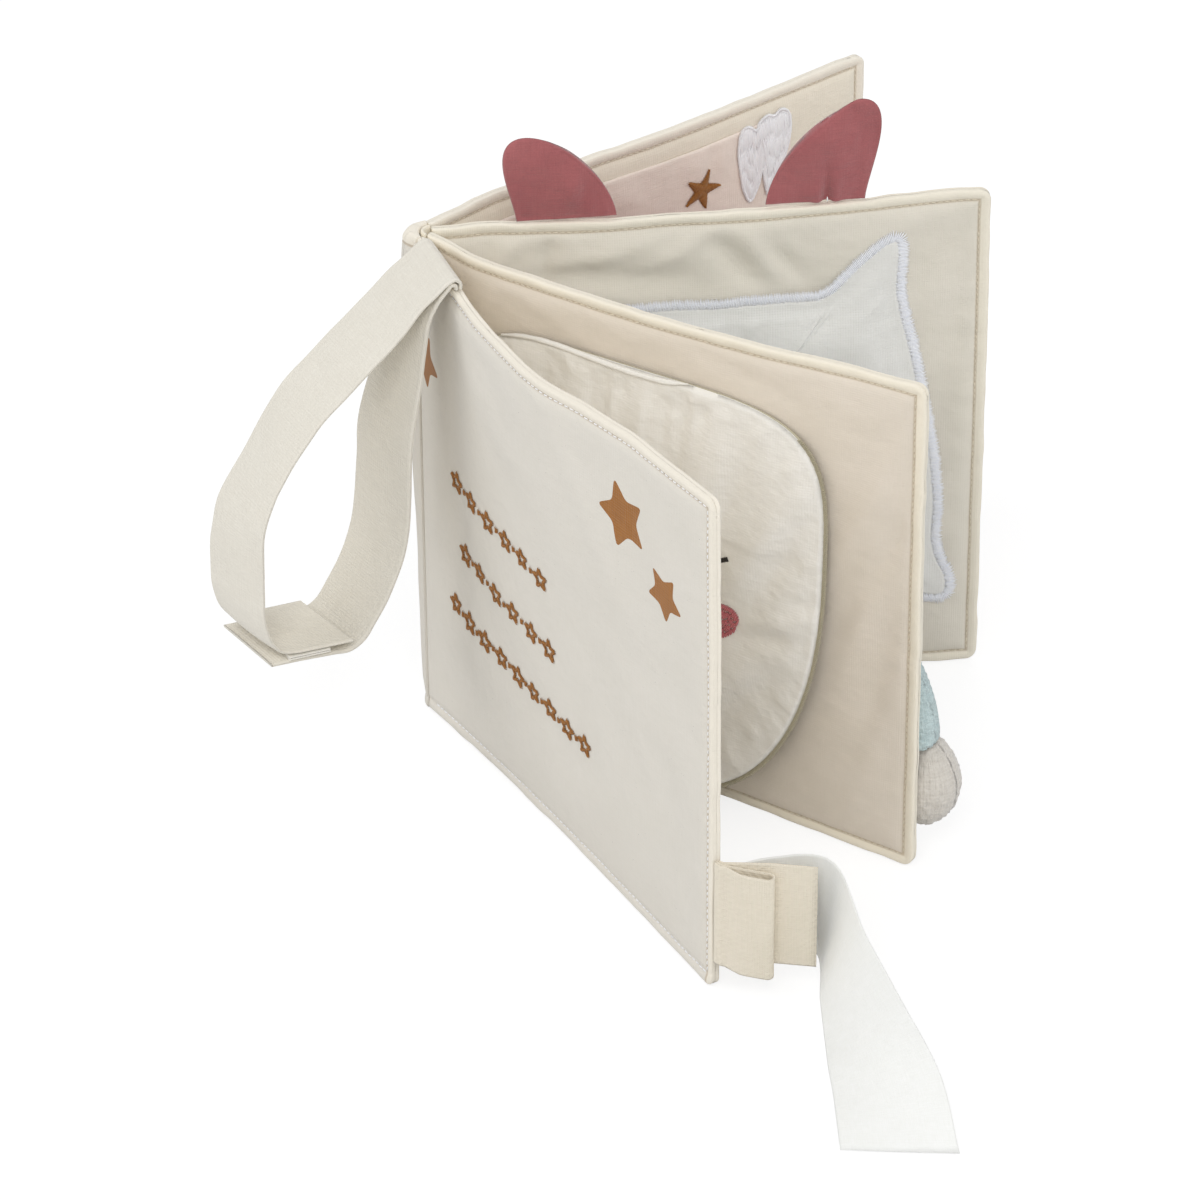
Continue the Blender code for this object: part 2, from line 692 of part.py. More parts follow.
def make_labels():
    """A folded tab, a short label and a long one, stacked in the fore-edge seam, all bare."""
    turn = math.radians(LABEL_TURN_DEGREES)
    out = Vector((math.cos(turn), math.sin(turn), 0))
    centre = Vector((0, LABEL_BEND + LABEL_PITCH * 3 / 2, 0))
    rise = Vector((0, 0, LABEL_HEIGHT))

    def foot(layer, reach, droop=0, aside=0):
        """A label's lower edge: a layer of the stack turns out of the seam, then runs on."""
        bend = turn * min(reach / BEND_REACH, 1)
        radius = LABEL_BEND + LABEL_PITCH * layer
        point = centre + Vector((math.sin(bend), -math.cos(bend), 0)) * radius
        point += Vector((out.y, -out.x, 0)) * aside + out * max(reach - BEND_REACH, 0)
        return point + Vector((0, 0, LABEL_FOOT - droop * reach))

    bends = [BEND_REACH * share for share in (0, 1 / 3, 2 / 3, 1)]
    straights = [BEND_REACH + (TAB_REACH - TAB_FOLD / 2 - BEND_REACH) * share for share in TAB_LINE_SHARES]
    near = [foot(3, reach, DROOP_SHARE) for reach in bends]
    near += [foot(3, reach, DROOP_SHARE, TAB_FOLD) for reach in straights]
    far = [foot(2, reach, DROOP_SHARE) for reach in bends + straights]
    fold_centre = (near[-1] + far[-1]) / 2
    arm = near[-1] - fold_centre
    tab = near + [
        fold_centre + arm * math.cos(bend) + out * arm.length * math.sin(bend)
        for bend in (math.pi / 4, math.pi / 2, math.pi * 3 / 4)
    ]
    tab += far[::-1]
    strip("loop_label", tab, [point + rise for point in tab], "label_tape")

    straights = [
        BEND_REACH + (SHORT_LABEL_LENGTH - BEND_REACH) * share for share in SHORT_LINE_SHARES
    ]
    short = [
        foot(1, reach, DROOP_SHARE / 3, max(reach - TAB_REACH, 0) * SHORT_ASIDE_SHARE)
        for reach in bends + straights
    ]
    strip("short_label", short, [point + rise for point in short], "label_tape")

    floor = LABEL_THICK / 2 + FOOT_RISE

    def edge(shares, lift):
        points = [foot(0, reach) + lift for reach in bends]
        points += [
            Vector((x * LONG_LABEL_LENGTH, y * LONG_LABEL_LENGTH, floor + z * LONG_LABEL_WIDTH))
            for x, y, z in shares
        ]
        route = smooth_route(points)
        return [Vector((point.x, point.y, max(point.z, floor))) for point in route]

    long_rise = Vector((0, 0, LONG_LABEL_WIDTH))
    lower = edge(LOWER_EDGE_SHARES, Vector())
    upper = edge(UPPER_EDGE_SHARES, long_rise)
    strip("long_label", lower, upper, "label_satin")


# Pieces sewn onto the pages

def patch(name, outline, centre, one_side, other_side, cloth, body):
    rings = rings_in(outline, centre, PATCH_STEPS)
    slab(name, PATCH_STEPS, PATCH_STEPS, rings, one_side, other_side, cloth, body)


def make_face_flap():
    """The lift-up face: a front and a lining with a crinkle film between, hinged at its top seam."""
    rise = math.tan(math.radians(FLAP_LIFT_DEGREES))
    brow = FLAP_MIDDLE, FLAP_TOP - FLAP_BROW
    upper = oval(brow, FLAP_WIDTH, 2 * FLAP_BROW, *FLAP_FILL_SHARES)
    lower = oval(brow, FLAP_WIDTH, 2 * (FLAP_HEIGHT - FLAP_BROW), *FLAP_FILL_SHARES)
    swell = puff(FLAP_CENTRE, FLAP_WIDTH, FLAP_HEIGHT, FLAP_PUFF)
    levels = [2 * CLEARANCE, 2 * CLEARANCE + FLAP_FABRIC]
    levels += [levels[1] + LAYER_GAP, levels[1] + LAYER_GAP + FILM]
    levels += [levels[3] + LAYER_GAP, levels[3] + LAYER_GAP + FLAP_FABRIC]

    def outline(side, share):
        point = upper(side, share)
        return point if point[1] > brow[1] else lower(side, share)

    def surface(level, part):
        lifted = plus(level, lambda a, h: (FLAP_TOP - h) * rise, lambda a, h: swell(a, h) * part)
        return in_front("first_page", lifted)

    layers = (
        ("face_flap_lining", 0, 0, "flap_lining"),
        ("face_flap_film", 2, 0, "crinkle_film"),
        ("face_flap_front", 4, 1, "flap_cotton"),
    )
    for name, level, part, cloth in layers:
        near, far = surface(levels[level], part), surface(levels[level + 1], part)
        patch(name, outline, FLAP_CENTRE, near, far, cloth, "face_flap")


def pillow_outline(centre):
    """Four pointed corners, with the sides drawn in between them, the top one most."""
    top, foot = centre[1] + PILLOW_HEIGHT / 2, centre[1] - PILLOW_HEIGHT / 2
    corners = [
        (centre[0] - PILLOW_FOOT_WIDTH / 2, foot), (centre[0] + PILLOW_FOOT_WIDTH / 2, foot),
        (centre[0] + PILLOW_TOP_WIDTH / 2, top), (centre[0] - PILLOW_TOP_WIDTH / 2, top),
    ]
    dips = [PILLOW_DIP * share for share in PILLOW_DIP_SHARES]

    def outline(side, share):
        start, end = corners[side], corners[(side + 1) % 4]
        drawn = dips[side] * (1 - abs(2 * share - 1) ** PILLOW_SIDE_SHARE)
        run = math.hypot(end[0] - start[0], end[1] - start[1])
        across = (start[1] - end[1]) / run, (end[0] - start[0]) / run
        return tuple(s + (e - s) * share + drawn * n for s, e, n in zip(start, end, across))
    return outline


def make_pillow():
    """A padded pillow on the second page: its cover, its filling and the satin cord round it."""
    centre = PILLOW_MIDDLE, PILLOW_FOOT + PILLOW_HEIGHT / 2
    outline = pillow_outline(centre)
    swell = puff(centre, PILLOW_FOOT_WIDTH, PILLOW_HEIGHT, PILLOW_PUFF)
    low = CLEARANCE
    page = "second_page"
    rim = 1 - PILLOW_FABRIC / PILLOW_PUFF

    def raised(level, part):
        return in_front(page, plus(level, lambda a, h: swell(a, h) * part))

    filling_top = raised(low + PILLOW_FABRIC, rim)
    cover = raised(low + PILLOW_FABRIC + LAYER_GAP, 1), raised(low + 2 * PILLOW_FABRIC + LAYER_GAP, 1)
    patch("pillow_filling", outline, centre, raised(low, 0), filling_top, "white_wadding", page)
    patch("pillow_cover", outline, centre, *cover, "pillow_cotton", page)

    corners = [outline(side, step / PATCH_STEPS) for side in range(4) for step in range(PATCH_STEPS)]
    beside = PILLOW_CORD_RADIUS + CLEARANCE
    top = in_front(page, plus(low + PILLOW_CORD_RADIUS))
    loop = []
    for i, point in enumerate(corners):
        back = Vector(point) - Vector(corners[i - 1])
        on = Vector(corners[(i + 1) % len(corners)]) - Vector(point)
        across = (back.normalized() + on.normalized()).normalized()
        mitre = beside / max(across.dot(on.normalized()), MITRE_SHARE)
        along, up = point[0] + across.y * mitre, point[1] - across.x * mitre
        loop.append(Vector((along, top(along, up), up)))
    cord("pillow_border", loop, [PILLOW_CORD_RADIUS] * len(loop), "satin_border", page, closed=True)


def cord(name, points, radii, cloth, body, closed=False):
    """A round cord through points in its leaf's frame, a closed ring or with filled ends."""
    curve = bpy.data.curves.new(name, "CURVE")
    curve.dimensions = "3D"
    curve.bevel_depth = radii[0]
    curve.bevel_resolution = 2
    curve.use_fill_caps = True
    spline = curve.splines.new("POLY")
    spline.points.add(len(points) - 1)
    for knot, point, radius in zip(spline.points, points, radii):
        knot.co = (*(point - SEATS[body]), 1)
        knot.radius = radius / radii[0]
    spline.use_cyclic_u = closed
    return keep_object(bpy.data.objects.new(name, curve), cloth, body)


def make_head():
    """The head on the back of the second page, under its ears: padding and a plain cover."""
    centre = HEAD_MIDDLE, LEAF_HEIGHT - HEAD_TOP_MARGIN - HEAD_HEIGHT / 2
    outline = oval(centre, HEAD_WIDTH, HEAD_HEIGHT, HEAD_FILL_SHARE, HEAD_FILL_SHARE)
    swell = puff(centre, HEAD_WIDTH, HEAD_HEIGHT, HEAD_PUFF)
    page = "second_page"
    low = CLEARANCE + HEAD_FABRIC + LAYER_GAP
    padding = behind(page, plus(CLEARANCE)), behind(page, plus(low - LAYER_GAP, swell))
    cover = behind(page, plus(low, swell)), behind(page, plus(low + HEAD_FABRIC, swell))
    patch("head_padding", outline, centre, *padding, "white_wadding", page)
    patch("head_patch", outline, centre, *cover, "rose_cotton", page)


def make_ear(body, place, height, lean):
    """A flat stuffed ear, straight along its sewn base, leaning over towards its tip."""
    base = LEAF_HEIGHT + SEAM_SEAT
    centre = place + lean * EAR_CROWN_SHARES[0], base + height * EAR_CROWN_SHARES[1]

    def outline(side, share):
        if side == 0:
            return place - EAR_BASE / 2 + EAR_BASE * share, base
        turn = math.pi * (side - 1 + share) / 3
        up = math.sin(turn) ** EAR_TIP_SHARE
        return place + EAR_BASE / 2 * math.cos(turn) + lean * up**EAR_LEAN_SHARE, base + height * up

    def half(along, up):
        reach = height * EAR_REACH_SHARE
        out = math.hypot((along - centre[0]) / (EAR_BASE / 2), (up - centre[1]) / reach)
        low = EAR_SEAM_THICK / 2
        return low + (EAR_THICK / 2 - low) * (1 - min(out, 1) ** 2)

    seam = top_seam("second_page", place).y
    patch(
        body, outline, centre, lambda a, h: seam - half(a, h), lambda a, h: seam + half(a, h),
        "rose_cotton", body,
    )


def make_leg():
    """A knitted patch on the back of the first page, and the leg and paw that hang from it."""
    page = "first_page"
    centre = KNIT_PATCH_MIDDLE, KNIT_PATCH_FOOT + KNIT_PATCH_HEIGHT / 2
    outline = oval(centre, KNIT_PATCH_WIDTH, KNIT_PATCH_HEIGHT, KNIT_FILL_SHARE, KNIT_FILL_SHARE)
    swell = puff(centre, KNIT_PATCH_WIDTH, KNIT_PATCH_HEIGHT, KNIT_PATCH_PUFF)
    low = 2 * CLEARANCE
    face = behind(page, plus(low)), behind(page, plus(low + KNIT_FABRIC, swell))
    patch("knit_patch", outline, centre, *face, "blue_knit", page)

    points, radii = [], []
    for share in steps_between(0, 1, LEG_STEPS):
        along = LEG_FOOT_PLACE - (LEG_FOOT_PLACE - LEG_TOP_PLACE) * (1 - share) ** 2
        height = LEG_TOP_HEIGHT + (LEG_FOOT_HEIGHT + LEG_CUFF - LEG_TOP_HEIGHT) * share
        points.append(Vector((along, behind(page, plus(leg_reach(height)))(along, height), height)))
        radii.append(KNIT_RADIUS_TOP + (KNIT_RADIUS_FOOT - KNIT_RADIUS_TOP) * share)
    points.append(points[-1] - Vector((0, 0, LEG_CUFF)))
    radii.append(KNIT_RADIUS_FOOT)
    cord("knit_leg", points, radii, "blue_knit", "leg")

    bm = bmesh.new()
    paw = bmesh.ops.create_uvsphere(bm, u_segments=14, v_segments=10, radius=0.5)["verts"]
    middle_height = PAW_FOOT + PAW_LENGTH / 2
    deep = behind(page, plus(CLEARANCE + PAW_DEPTH / 2))(PAW_PLACE, middle_height)
    seat = Vector((PAW_PLACE, deep, middle_height)) - SEATS["leg"]
    for vert in paw:
        above = max(vert.co.z - PAW_SLIM_START_SHARE, 0)
        slim = 1 - PAW_SLIM_SHARE * above**PAW_SLIM_EASE_SHARE
        vert.co.x *= PAW_WIDTH * slim
        vert.co.y *= PAW_DEPTH * slim
        vert.co.z *= PAW_LENGTH
        vert.co += seat
    cut = Vector((0, 0, LEG_FOOT_HEIGHT - CLEARANCE * 2)) - Vector((0, 0, SEATS["leg"].z))
    bmesh.ops.bisect_plane(
        bm, geom=bm.verts[:] + bm.edges[:] + bm.faces[:], plane_co=cut, plane_no=(0, 0, 1), clear_outer=True
    )
    bmesh.ops.holes_fill(bm, edges=[e for e in bm.edges if e.is_boundary])
    keep("plush_paw", bm, "white_plush", "leg")


def make_inset_panel():
    """A panel on the back cover's lining, set in from its edges, with a small raised cloud on it."""
    alongs = [INSET_MARGIN + INSET_WIDTH * share for share in INSET_LINE_SHARES]
    heights = [INSET_MARGIN, CROWN_INSET, LEAF_HEIGHT / 2, LEAF_HEIGHT - CROWN_INSET]
    heights.append(LEAF_HEIGHT - INSET_MARGIN)
    cover = "back_cover"
    faces = in_front(cover, plus(CLEARANCE)), in_front(cover, plus(CLEARANCE + MOTIF_THICK))
    lines = on_lines(alongs, heights)
    slab("inset_panel", len(alongs) - 1, len(heights) - 1, lines, *faces, "panel_cotton", cover)

    centre = CLOUD_PLACE, CLOUD_MIDDLE

    def outline(side, share):
        turn = math.radians(225 + 90 * side + 90 * share)
        dent = abs(math.sin(CLOUD_LOBES_SHARE * (turn - math.pi / 2)))
        lobe = 1 - CLOUD_LOBE_SHARE * dent * (math.sin(turn) > CLOUD_LOBE_FOOT_SHARE)
        return (
            centre[0] + math.cos(turn) * CLOUD_WIDTH / 2 * lobe,
            centre[1] + max(math.sin(turn), CLOUD_FLAT_FOOT_SHARE) * CLOUD_HEIGHT / 2 * lobe,
        )

    low = 2 * CLEARANCE + MOTIF_THICK
    faces = in_front(cover, plus(low)), in_front(cover, plus(low + MOTIF_THICK))
    patch("cloud_motif", outline, centre, *faces, "white_thread", cover)


# The order of making

clear_scene()
BOOK = new_collection("crinkle_cloth_book")
BODIES = {}
SEATS = {}
WORLD = make_bodies()
make_leaf("front_cover", "outer_panel", "lining", "cover_cotton", "lining_cotton")
make_leaf("first_page", "front_panel", "back_panel", "page_cotton", "second_page_cotton")
make_leaf("second_page", "front_panel", "back_panel", "second_page_cotton", "page_cotton")
make_leaf("back_cover", "lining", "outer_panel", "lining_cotton", "cover_cotton")
make_spine(WORLD)
make_strap()
make_labels()
make_face_flap()
make_pillow()
make_head()
make_ear("left_ear", LEFT_EAR_PLACE, LEFT_EAR_HEIGHT, LEFT_EAR_LEAN)
make_ear("right_ear", RIGHT_EAR_PLACE, RIGHT_EAR_HEIGHT, RIGHT_EAR_LEAN)
make_leg()
make_inset_panel()
bpy.context.view_layer.update()
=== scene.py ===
# Looks of the crinkle cloth book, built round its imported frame. Metres, +Z up, +X along the
# middle of the fan. Each leaf's own frame: along it from the spine, depth towards its back, height.
import math

import bpy
import numpy as np
from mathutils import Matrix, Vector


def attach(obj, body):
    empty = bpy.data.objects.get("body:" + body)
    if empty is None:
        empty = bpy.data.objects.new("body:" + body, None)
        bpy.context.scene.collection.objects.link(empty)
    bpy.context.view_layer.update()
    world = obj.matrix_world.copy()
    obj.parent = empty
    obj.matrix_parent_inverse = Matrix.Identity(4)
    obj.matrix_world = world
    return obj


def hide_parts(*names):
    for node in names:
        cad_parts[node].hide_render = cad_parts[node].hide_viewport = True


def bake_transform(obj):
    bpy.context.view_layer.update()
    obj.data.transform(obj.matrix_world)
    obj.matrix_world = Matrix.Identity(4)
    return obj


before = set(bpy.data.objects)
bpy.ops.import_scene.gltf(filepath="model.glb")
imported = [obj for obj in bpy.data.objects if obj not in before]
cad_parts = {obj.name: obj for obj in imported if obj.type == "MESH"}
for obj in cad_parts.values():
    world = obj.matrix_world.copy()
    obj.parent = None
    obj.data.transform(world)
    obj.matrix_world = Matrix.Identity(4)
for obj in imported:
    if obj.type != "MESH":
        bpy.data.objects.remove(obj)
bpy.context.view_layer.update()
scene = bpy.context.scene
scene.view_settings.view_transform = "Standard"

# The camera, at the photograph's viewing angle

CAMERA_PLACE = (0.3695, -1.6463, 1.1652)
CAMERA_TURNS = ((10.7, "Z"), (56.25, "X"), (-0.306, "Z"))
camera = bpy.data.objects.new("camera", bpy.data.cameras.new("camera"))
camera.data.lens = 185.37
camera.data.sensor_width = 36
camera.data.clip_start = 0.1
scene.collection.objects.link(camera)
view = Matrix.Translation(CAMERA_PLACE)
for degrees, axis in CAMERA_TURNS:
    view = view @ Matrix.Rotation(math.radians(degrees), 4, axis)
camera.matrix_world = view
scene.camera = camera

# The sizes, as in the part's source

MM = 0.001
WIDTH = HEIGHT = 0.180
CLEARANCE, ROLL_HALF, ROOT_GAP, SPINE_FABRIC = 0.0003, 0.0016, 0.00015, 0.0016
HALF_PITCH = ROLL_HALF + ROOT_GAP
FAN = {"front_cover": -48.8, "first_page": -20.8, "second_page": 17.5, "back_cover": 48.8}
SWAY_TOP = {"front_cover": 0.0085, "first_page": 0.0060, "second_page": 0.0, "back_cover": -0.0038}
SWAY_FOOT = {"front_cover": -0.0020, "first_page": -0.0035, "second_page": 0.0, "back_cover": 0.0}
SEAM_LOOK = {
    "front_cover": [(0, 0), (38, 0), (50, 1.2), (69, 2.0), (85, 3.0), (96, 2.9), (111, 0.3), (135, -1.2),
                    (157, 0.2), (180, 0.7)],
    "first_page": [(0, 0), (10, 1.5), (19, 2.3), (33, 1.6), (50, 0.8), (93, 1.1), (124, 1.2), (153, -0.3),
                   (180, 0)],
    "second_page": [(0, 0), (15, -1), (38, 0.9), (55, 2.3), (75, 1.2), (102, 1.8), (134, 0.5), (150, -1.3),
                    (167, -2.6), (180, -2.2)],
    "back_cover": [(0, 0), (31, 0), (46, 1.5), (70, 3.0), (89, 4.6), (109, 4.6), (127, 3.3), (144, 2.4),
                   (161, 1.5), (180, 0.5)],
}


def directions(leaf):
    """A leaf's way out from the spine, and the way that its front faces."""
    turn = math.radians(FAN[leaf])
    return Vector((math.cos(turn), math.sin(turn), 0)), Vector((math.sin(turn), -math.cos(turn), 0))


def spine_places():
    """The leaves' hinge lines, and the spine cover's arc: its centre, radius and half its turn."""
    front = {leaf: directions(leaf)[1] for leaf in FAN}
    second = -front["second_page"] * 2 * HALF_PITCH
    root = second - front["back_cover"] * HALF_PITCH
    first = front["first_page"] * 2 * HALF_PITCH
    back_face = root - front["back_cover"] * ROLL_HALF
    front_face = first + front["front_cover"] * (HALF_PITCH + ROLL_HALF)
    half_turn = math.radians(180 - FAN["back_cover"] + FAN["front_cover"]) / 2
    radius = (back_face - front_face).length / 2 / math.sin(half_turn)
    centre = (back_face + front_face) / 2 + Vector((radius * math.cos(half_turn), 0, 0))
    shift = Vector((radius - SPINE_FABRIC / 2 - centre.x, -centre.y, 0))
    places = {
        "back_cover": root + shift, "second_page": second + shift,
        "first_page": shift, "front_cover": first + shift,
    }
    return places, centre + shift, radius, half_turn


PLACES, SPINE_CENTRE, SPINE_RADIUS, SPINE_HALF_TURN = spine_places()
OUT = {leaf: np.array(directions(leaf)[1]) for leaf in FAN}


def to_row(leaf, along, depth, height):
    """Points of a leaf's own frame, as points of the row frame."""
    along, depth, height = np.broadcast_arrays(along, depth, height)
    return (
        np.array(PLACES[leaf]) + along[..., None] * np.array(directions(leaf)[0])
        - depth[..., None] * OUT[leaf] + height[..., None] * np.array((0, 0, 1.0))
    )


def middle(leaf):
    return 0 if leaf == "back_cover" else -HALF_PITCH


def sway(leaf, along, height):
    """How far a leaf's middle bows towards its front."""
    share = np.clip(along / WIDTH, 0, 1)
    reach = SWAY_FOOT[leaf] + (SWAY_TOP[leaf] - SWAY_FOOT[leaf]) * height / HEIGHT
    seam = sum(profile(along + shift * MM, SEAM_LOOK[leaf]) for shift in (-4, -2, 0, 2, 4)) / 5
    seam = seam * ease(0, 0.02, along) * ease(0.45 * HEIGHT, HEIGHT, height) ** 1.3
    return reach * np.maximum(np.sin(np.pi * share**0.75), 0) ** 1.3 + seam


# Curves, noise and cloth simulation

def ease(low, high, x):
    t = np.clip((x - low) / (high - low), 0, 1)
    return t * t * (3 - 2 * t)


def profile(x, table):
    """Reads a table of (place, height) in millimetres."""
    return np.interp(x, *(np.array(table).T * MM))


def bump(x, centre, width, power=2):
    """A bump of height 1, with its centre and width in millimetres."""
    return np.exp(-(((x - centre * MM) / (width * MM)) ** power))


def lengths(points):
    """The length along a line up to each of its points."""
    return np.concatenate([[0], np.cumsum(np.linalg.norm(np.diff(points, axis=0), axis=1))])


def by_length(points):
    """Gives the function from a share of a flat line's length to the place there."""
    points = np.asarray(points, float)
    length = lengths(points)
    return lambda share: tuple(np.interp(share * length[-1], length, points[:, k]) for k in range(2))


def rough(x, y, seed):
    """Smooth noise from -1 to 1 over a plane, the same for the same seed."""
    table = np.random.default_rng(seed).uniform(-1, 1, (64, 64))
    i, j = np.floor(x).astype(int), np.floor(y).astype(int)
    u, v = x - i, y - j
    u, v = u * u * (3 - 2 * u), v * v * (3 - 2 * v)
    low = table[i % 64, j % 64] * (1 - u) + table[(i + 1) % 64, j % 64] * u
    high = table[i % 64, (j + 1) % 64] * (1 - u) + table[(i + 1) % 64, (j + 1) % 64] * u
    return low * (1 - v) + high * v


def grain(x, y, wide, tall, high, seed):
    """Noise whose sizes and height are in millimetres."""
    return rough(x / (wide * MM), y / (tall * MM), seed) * high * MM


def puckers(t, d, *kinds):
    """Puckers along a sewn rim: for each kind the count round it, length, place, reach, height, seed."""
    return sum(rough(t * count, d / (length * MM), seed) * high * MM * bump(d, centre, reach)
               for count, length, centre, reach, high, seed in kinds)


def folded(along, height, folds, bow=0.0):
    """Long folds: the place of each, its turn in degrees, its length, width and height, and one bow."""
    total = 0
    for a0, h0, turn, length, width, high in folds:
        x, y, turn = along / MM - a0, height / MM - h0, math.radians(turn)
        run, across = x * math.cos(turn) + y * math.sin(turn), y * math.cos(turn) - x * math.sin(turn)
        across = across - bow * run**2 * width / length
        total = total + np.exp(-((run / length) ** 2) - (across / width) ** 2) * high * MM
    return total


def sample(field, u, v):
    """Reads a square field of heights at places from 0 to 1."""
    n = len(field) - 1
    x, y = np.clip(u, 0, 1) * n, np.clip(v, 0, 1) * n
    i, j = np.minimum(x.astype(int), n - 1), np.minimum(y.astype(int), n - 1)
    x, y = x - i, y - j
    return (
        (field[i, j] * (1 - x) + field[i + 1, j] * x) * (1 - y)
        + (field[i, j + 1] * (1 - x) + field[i + 1, j + 1] * x) * y
    )


CELLS, FRAMES = 64, 22


def crumpled(seed, spare=0.03, bend=0.5, round_rim=False):
    """Heights from -1 to 1 of a cloth that is held at its rim and has spare length to lose in
    wrinkles: a Cloth simulation on a flat square."""
    line = np.linspace(0, 1, CELLS + 1)
    u, v = np.meshgrid(line, line, indexing="ij")
    verts = np.stack([u, v, 0.002 * rough(u * 9, v * 9, seed)], -1).reshape(-1, 3)
    mesh = bpy.data.meshes.new("cloth")
    mesh.from_pydata(verts.tolist(), [], grid_faces(CELLS + 1, CELLS + 1).tolist())
    held = bpy.data.objects.new("cloth", mesh)
    scene.collection.objects.link(held)
    rim = np.minimum(np.minimum(u, 1 - u), np.minimum(v, 1 - v)) < 0.5 / CELLS
    if round_rim:
        rim = np.hypot(u - 0.5, v - 0.5) > 0.485
    held.vertex_groups.new(name="rim").add(np.flatnonzero(rim).tolist(), 1.0, "REPLACE")
    cloth = held.modifiers.new("Cloth", "CLOTH")
    for key, value in {
        "quality": 5, "mass": 0.3, "tension_stiffness": 18, "compression_stiffness": 18, "shear_stiffness": 6,
        "bending_stiffness": bend, "shrink_min": -spare, "shrink_max": -spare, "vertex_group_mass": "rim",
    }.items():
        setattr(cloth.settings, key, value)
    cloth.settings.effector_weights.gravity = 0
    cloth.collision_settings.use_collision = False
    cloth.collision_settings.use_self_collision = False
    for step in range(1, FRAMES + 1):
        scene.frame_set(step)
    shape = held.evaluated_get(bpy.context.evaluated_depsgraph_get()).data
    co = np.empty(len(verts) * 3)
    shape.vertices.foreach_get("co", co)
    field = co.reshape(CELLS + 1, CELLS + 1, 3)[..., 2]
    scene.frame_set(1)
    bpy.data.objects.remove(held, do_unlink=True)
    return np.clip(field / max(np.percentile(np.abs(field), 97), 1e-6), -1.5, 1.5)


# Meshes

def grid_faces(columns, rows, wrap_columns=False, wrap_rows=False):
    """Quads over a grid of points, closed round where asked."""
    i = np.arange(columns if wrap_columns else columns - 1)[:, None]
    j = np.arange(rows if wrap_rows else rows - 1)[None, :]
    i2, j2 = (i + 1) % columns, (j + 1) % rows
    quads = np.stack(np.broadcast_arrays(i * rows + j, i2 * rows + j, i2 * rows + j2, i * rows + j2), -1)
    return quads.reshape(-1, 4)


def piece(name, points, faces, cloth, body, uv, slot=None):
    """A smooth mesh piece, with cloth places in millimetres as its UV map."""
    mesh = bpy.data.meshes.new(name)
    mesh.from_pydata(np.reshape(points, (-1, 3)).tolist(), [], [list(face) for face in faces])
    mesh.shade_smooth()
    layer = mesh.uv_layers.new(name="cloth")
    loops = np.empty(len(mesh.loops), int)
    mesh.loops.foreach_get("vertex_index", loops)
    layer.data.foreach_set("uv", np.reshape(uv, (-1, 2))[loops].reshape(-1))
    made = bpy.data.objects.new(name, mesh)
    scene.collection.objects.link(made)
    made.data.materials.append(cloth)
    if body:
        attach(made, body)
    return made


def shell(name, outer, inner, cloth, body, uv, slot=None, wrap=False):
    """A closed piece between two surfaces over one grid of points, given as (n, m, 3)."""
    n, m = outer.shape[:2]
    top = grid_faces(n, m, wrap_columns=wrap)
    faces = [top, top[:, ::-1] + n * m]
    index = np.arange(n * m).reshape(n, m)
    if wrap:
        rims = [np.append(index[:, -1], index[0, -1])]
        if np.ptp(outer[:, 0], axis=0).max() > 1e-7:
            rims.append(np.append(index[:, 0], index[0, 0])[::-1])
    else:
        rims = [np.concatenate([index[0, :], index[1:, -1], index[-1, :-1][::-1], index[:-1, 0][::-1]])]
    for rim in rims:
        faces.append(np.stack([rim[:-1], rim[1:], rim[1:] + n * m, rim[:-1] + n * m], -1))
    points = np.concatenate([outer.reshape(-1, 3), inner.reshape(-1, 3)])
    both = np.concatenate([np.reshape(uv, (-1, 2))] * 2)
    return piece(name, points, np.concatenate(faces), cloth, body, both, slot)


def sewn(name, outer, inner, cloth, body, a, h, slot, nodes, wrap=True):
    """A shell over places on a leaf, which stands for nodes."""
    made = shell(name, outer, inner, cloth, body, np.stack([a, h], -1) / MM, slot, wrap)
    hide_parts(*nodes)
    return made


def tube(name, grid, cloth, body, uv, slot):
    """A tube along the grid's first direction, with flat ends."""
    n, m = grid.shape[:2]
    faces = grid_faces(n, m, wrap_rows=True).tolist()
    faces += [list(range(m))[::-1], list(range((n - 1) * m, n * m))]
    return piece(name, grid, faces, cloth, body, uv, slot)


THREAD_SIDES, THREAD_RINGS = 6, 5


def yarns(name, starts, ends, normal, radius, lift, cloth, body, slot=None):
    """Threads, in millimetres thick: one arched and round-ended for each start and end."""
    starts, ends, normal = (np.asarray(x, float)[..., None, None, :] for x in (starts, ends, normal))
    count = len(starts)
    t = np.linspace(0, 1, THREAD_RINGS)[None, :, None, None]
    turn = (np.arange(THREAD_SIDES) * 2 * math.pi / THREAD_SIDES)[None, None, :, None]
    run = ends - starts
    across = np.cross(run, normal)
    across /= np.linalg.norm(across, axis=-1, keepdims=True)
    thick = radius * MM * (1 - 0.72 * np.abs(2 * t - 1) ** 5)
    points = starts + run * t + normal * (lift * MM * np.sin(np.pi * t))
    points = points + thick * (np.cos(turn) * across + np.sin(turn) * normal)
    quads = grid_faces(THREAD_RINGS, THREAD_SIDES, wrap_rows=True)
    faces = (quads[None] + (np.arange(count) * THREAD_RINGS * THREAD_SIDES)[:, None, None]).reshape(-1, 4)
    length = np.linalg.norm(run, axis=-1)[..., 0] / MM
    shift = np.arange(count)[:, None, None] * 1.37
    uv = np.broadcast_arrays(t[..., 0] * length[..., None] + shift, np.arange(THREAD_SIDES) * 0.15 + shift)
    return piece(name, points, faces, cloth, body, np.stack(uv, -1), slot)


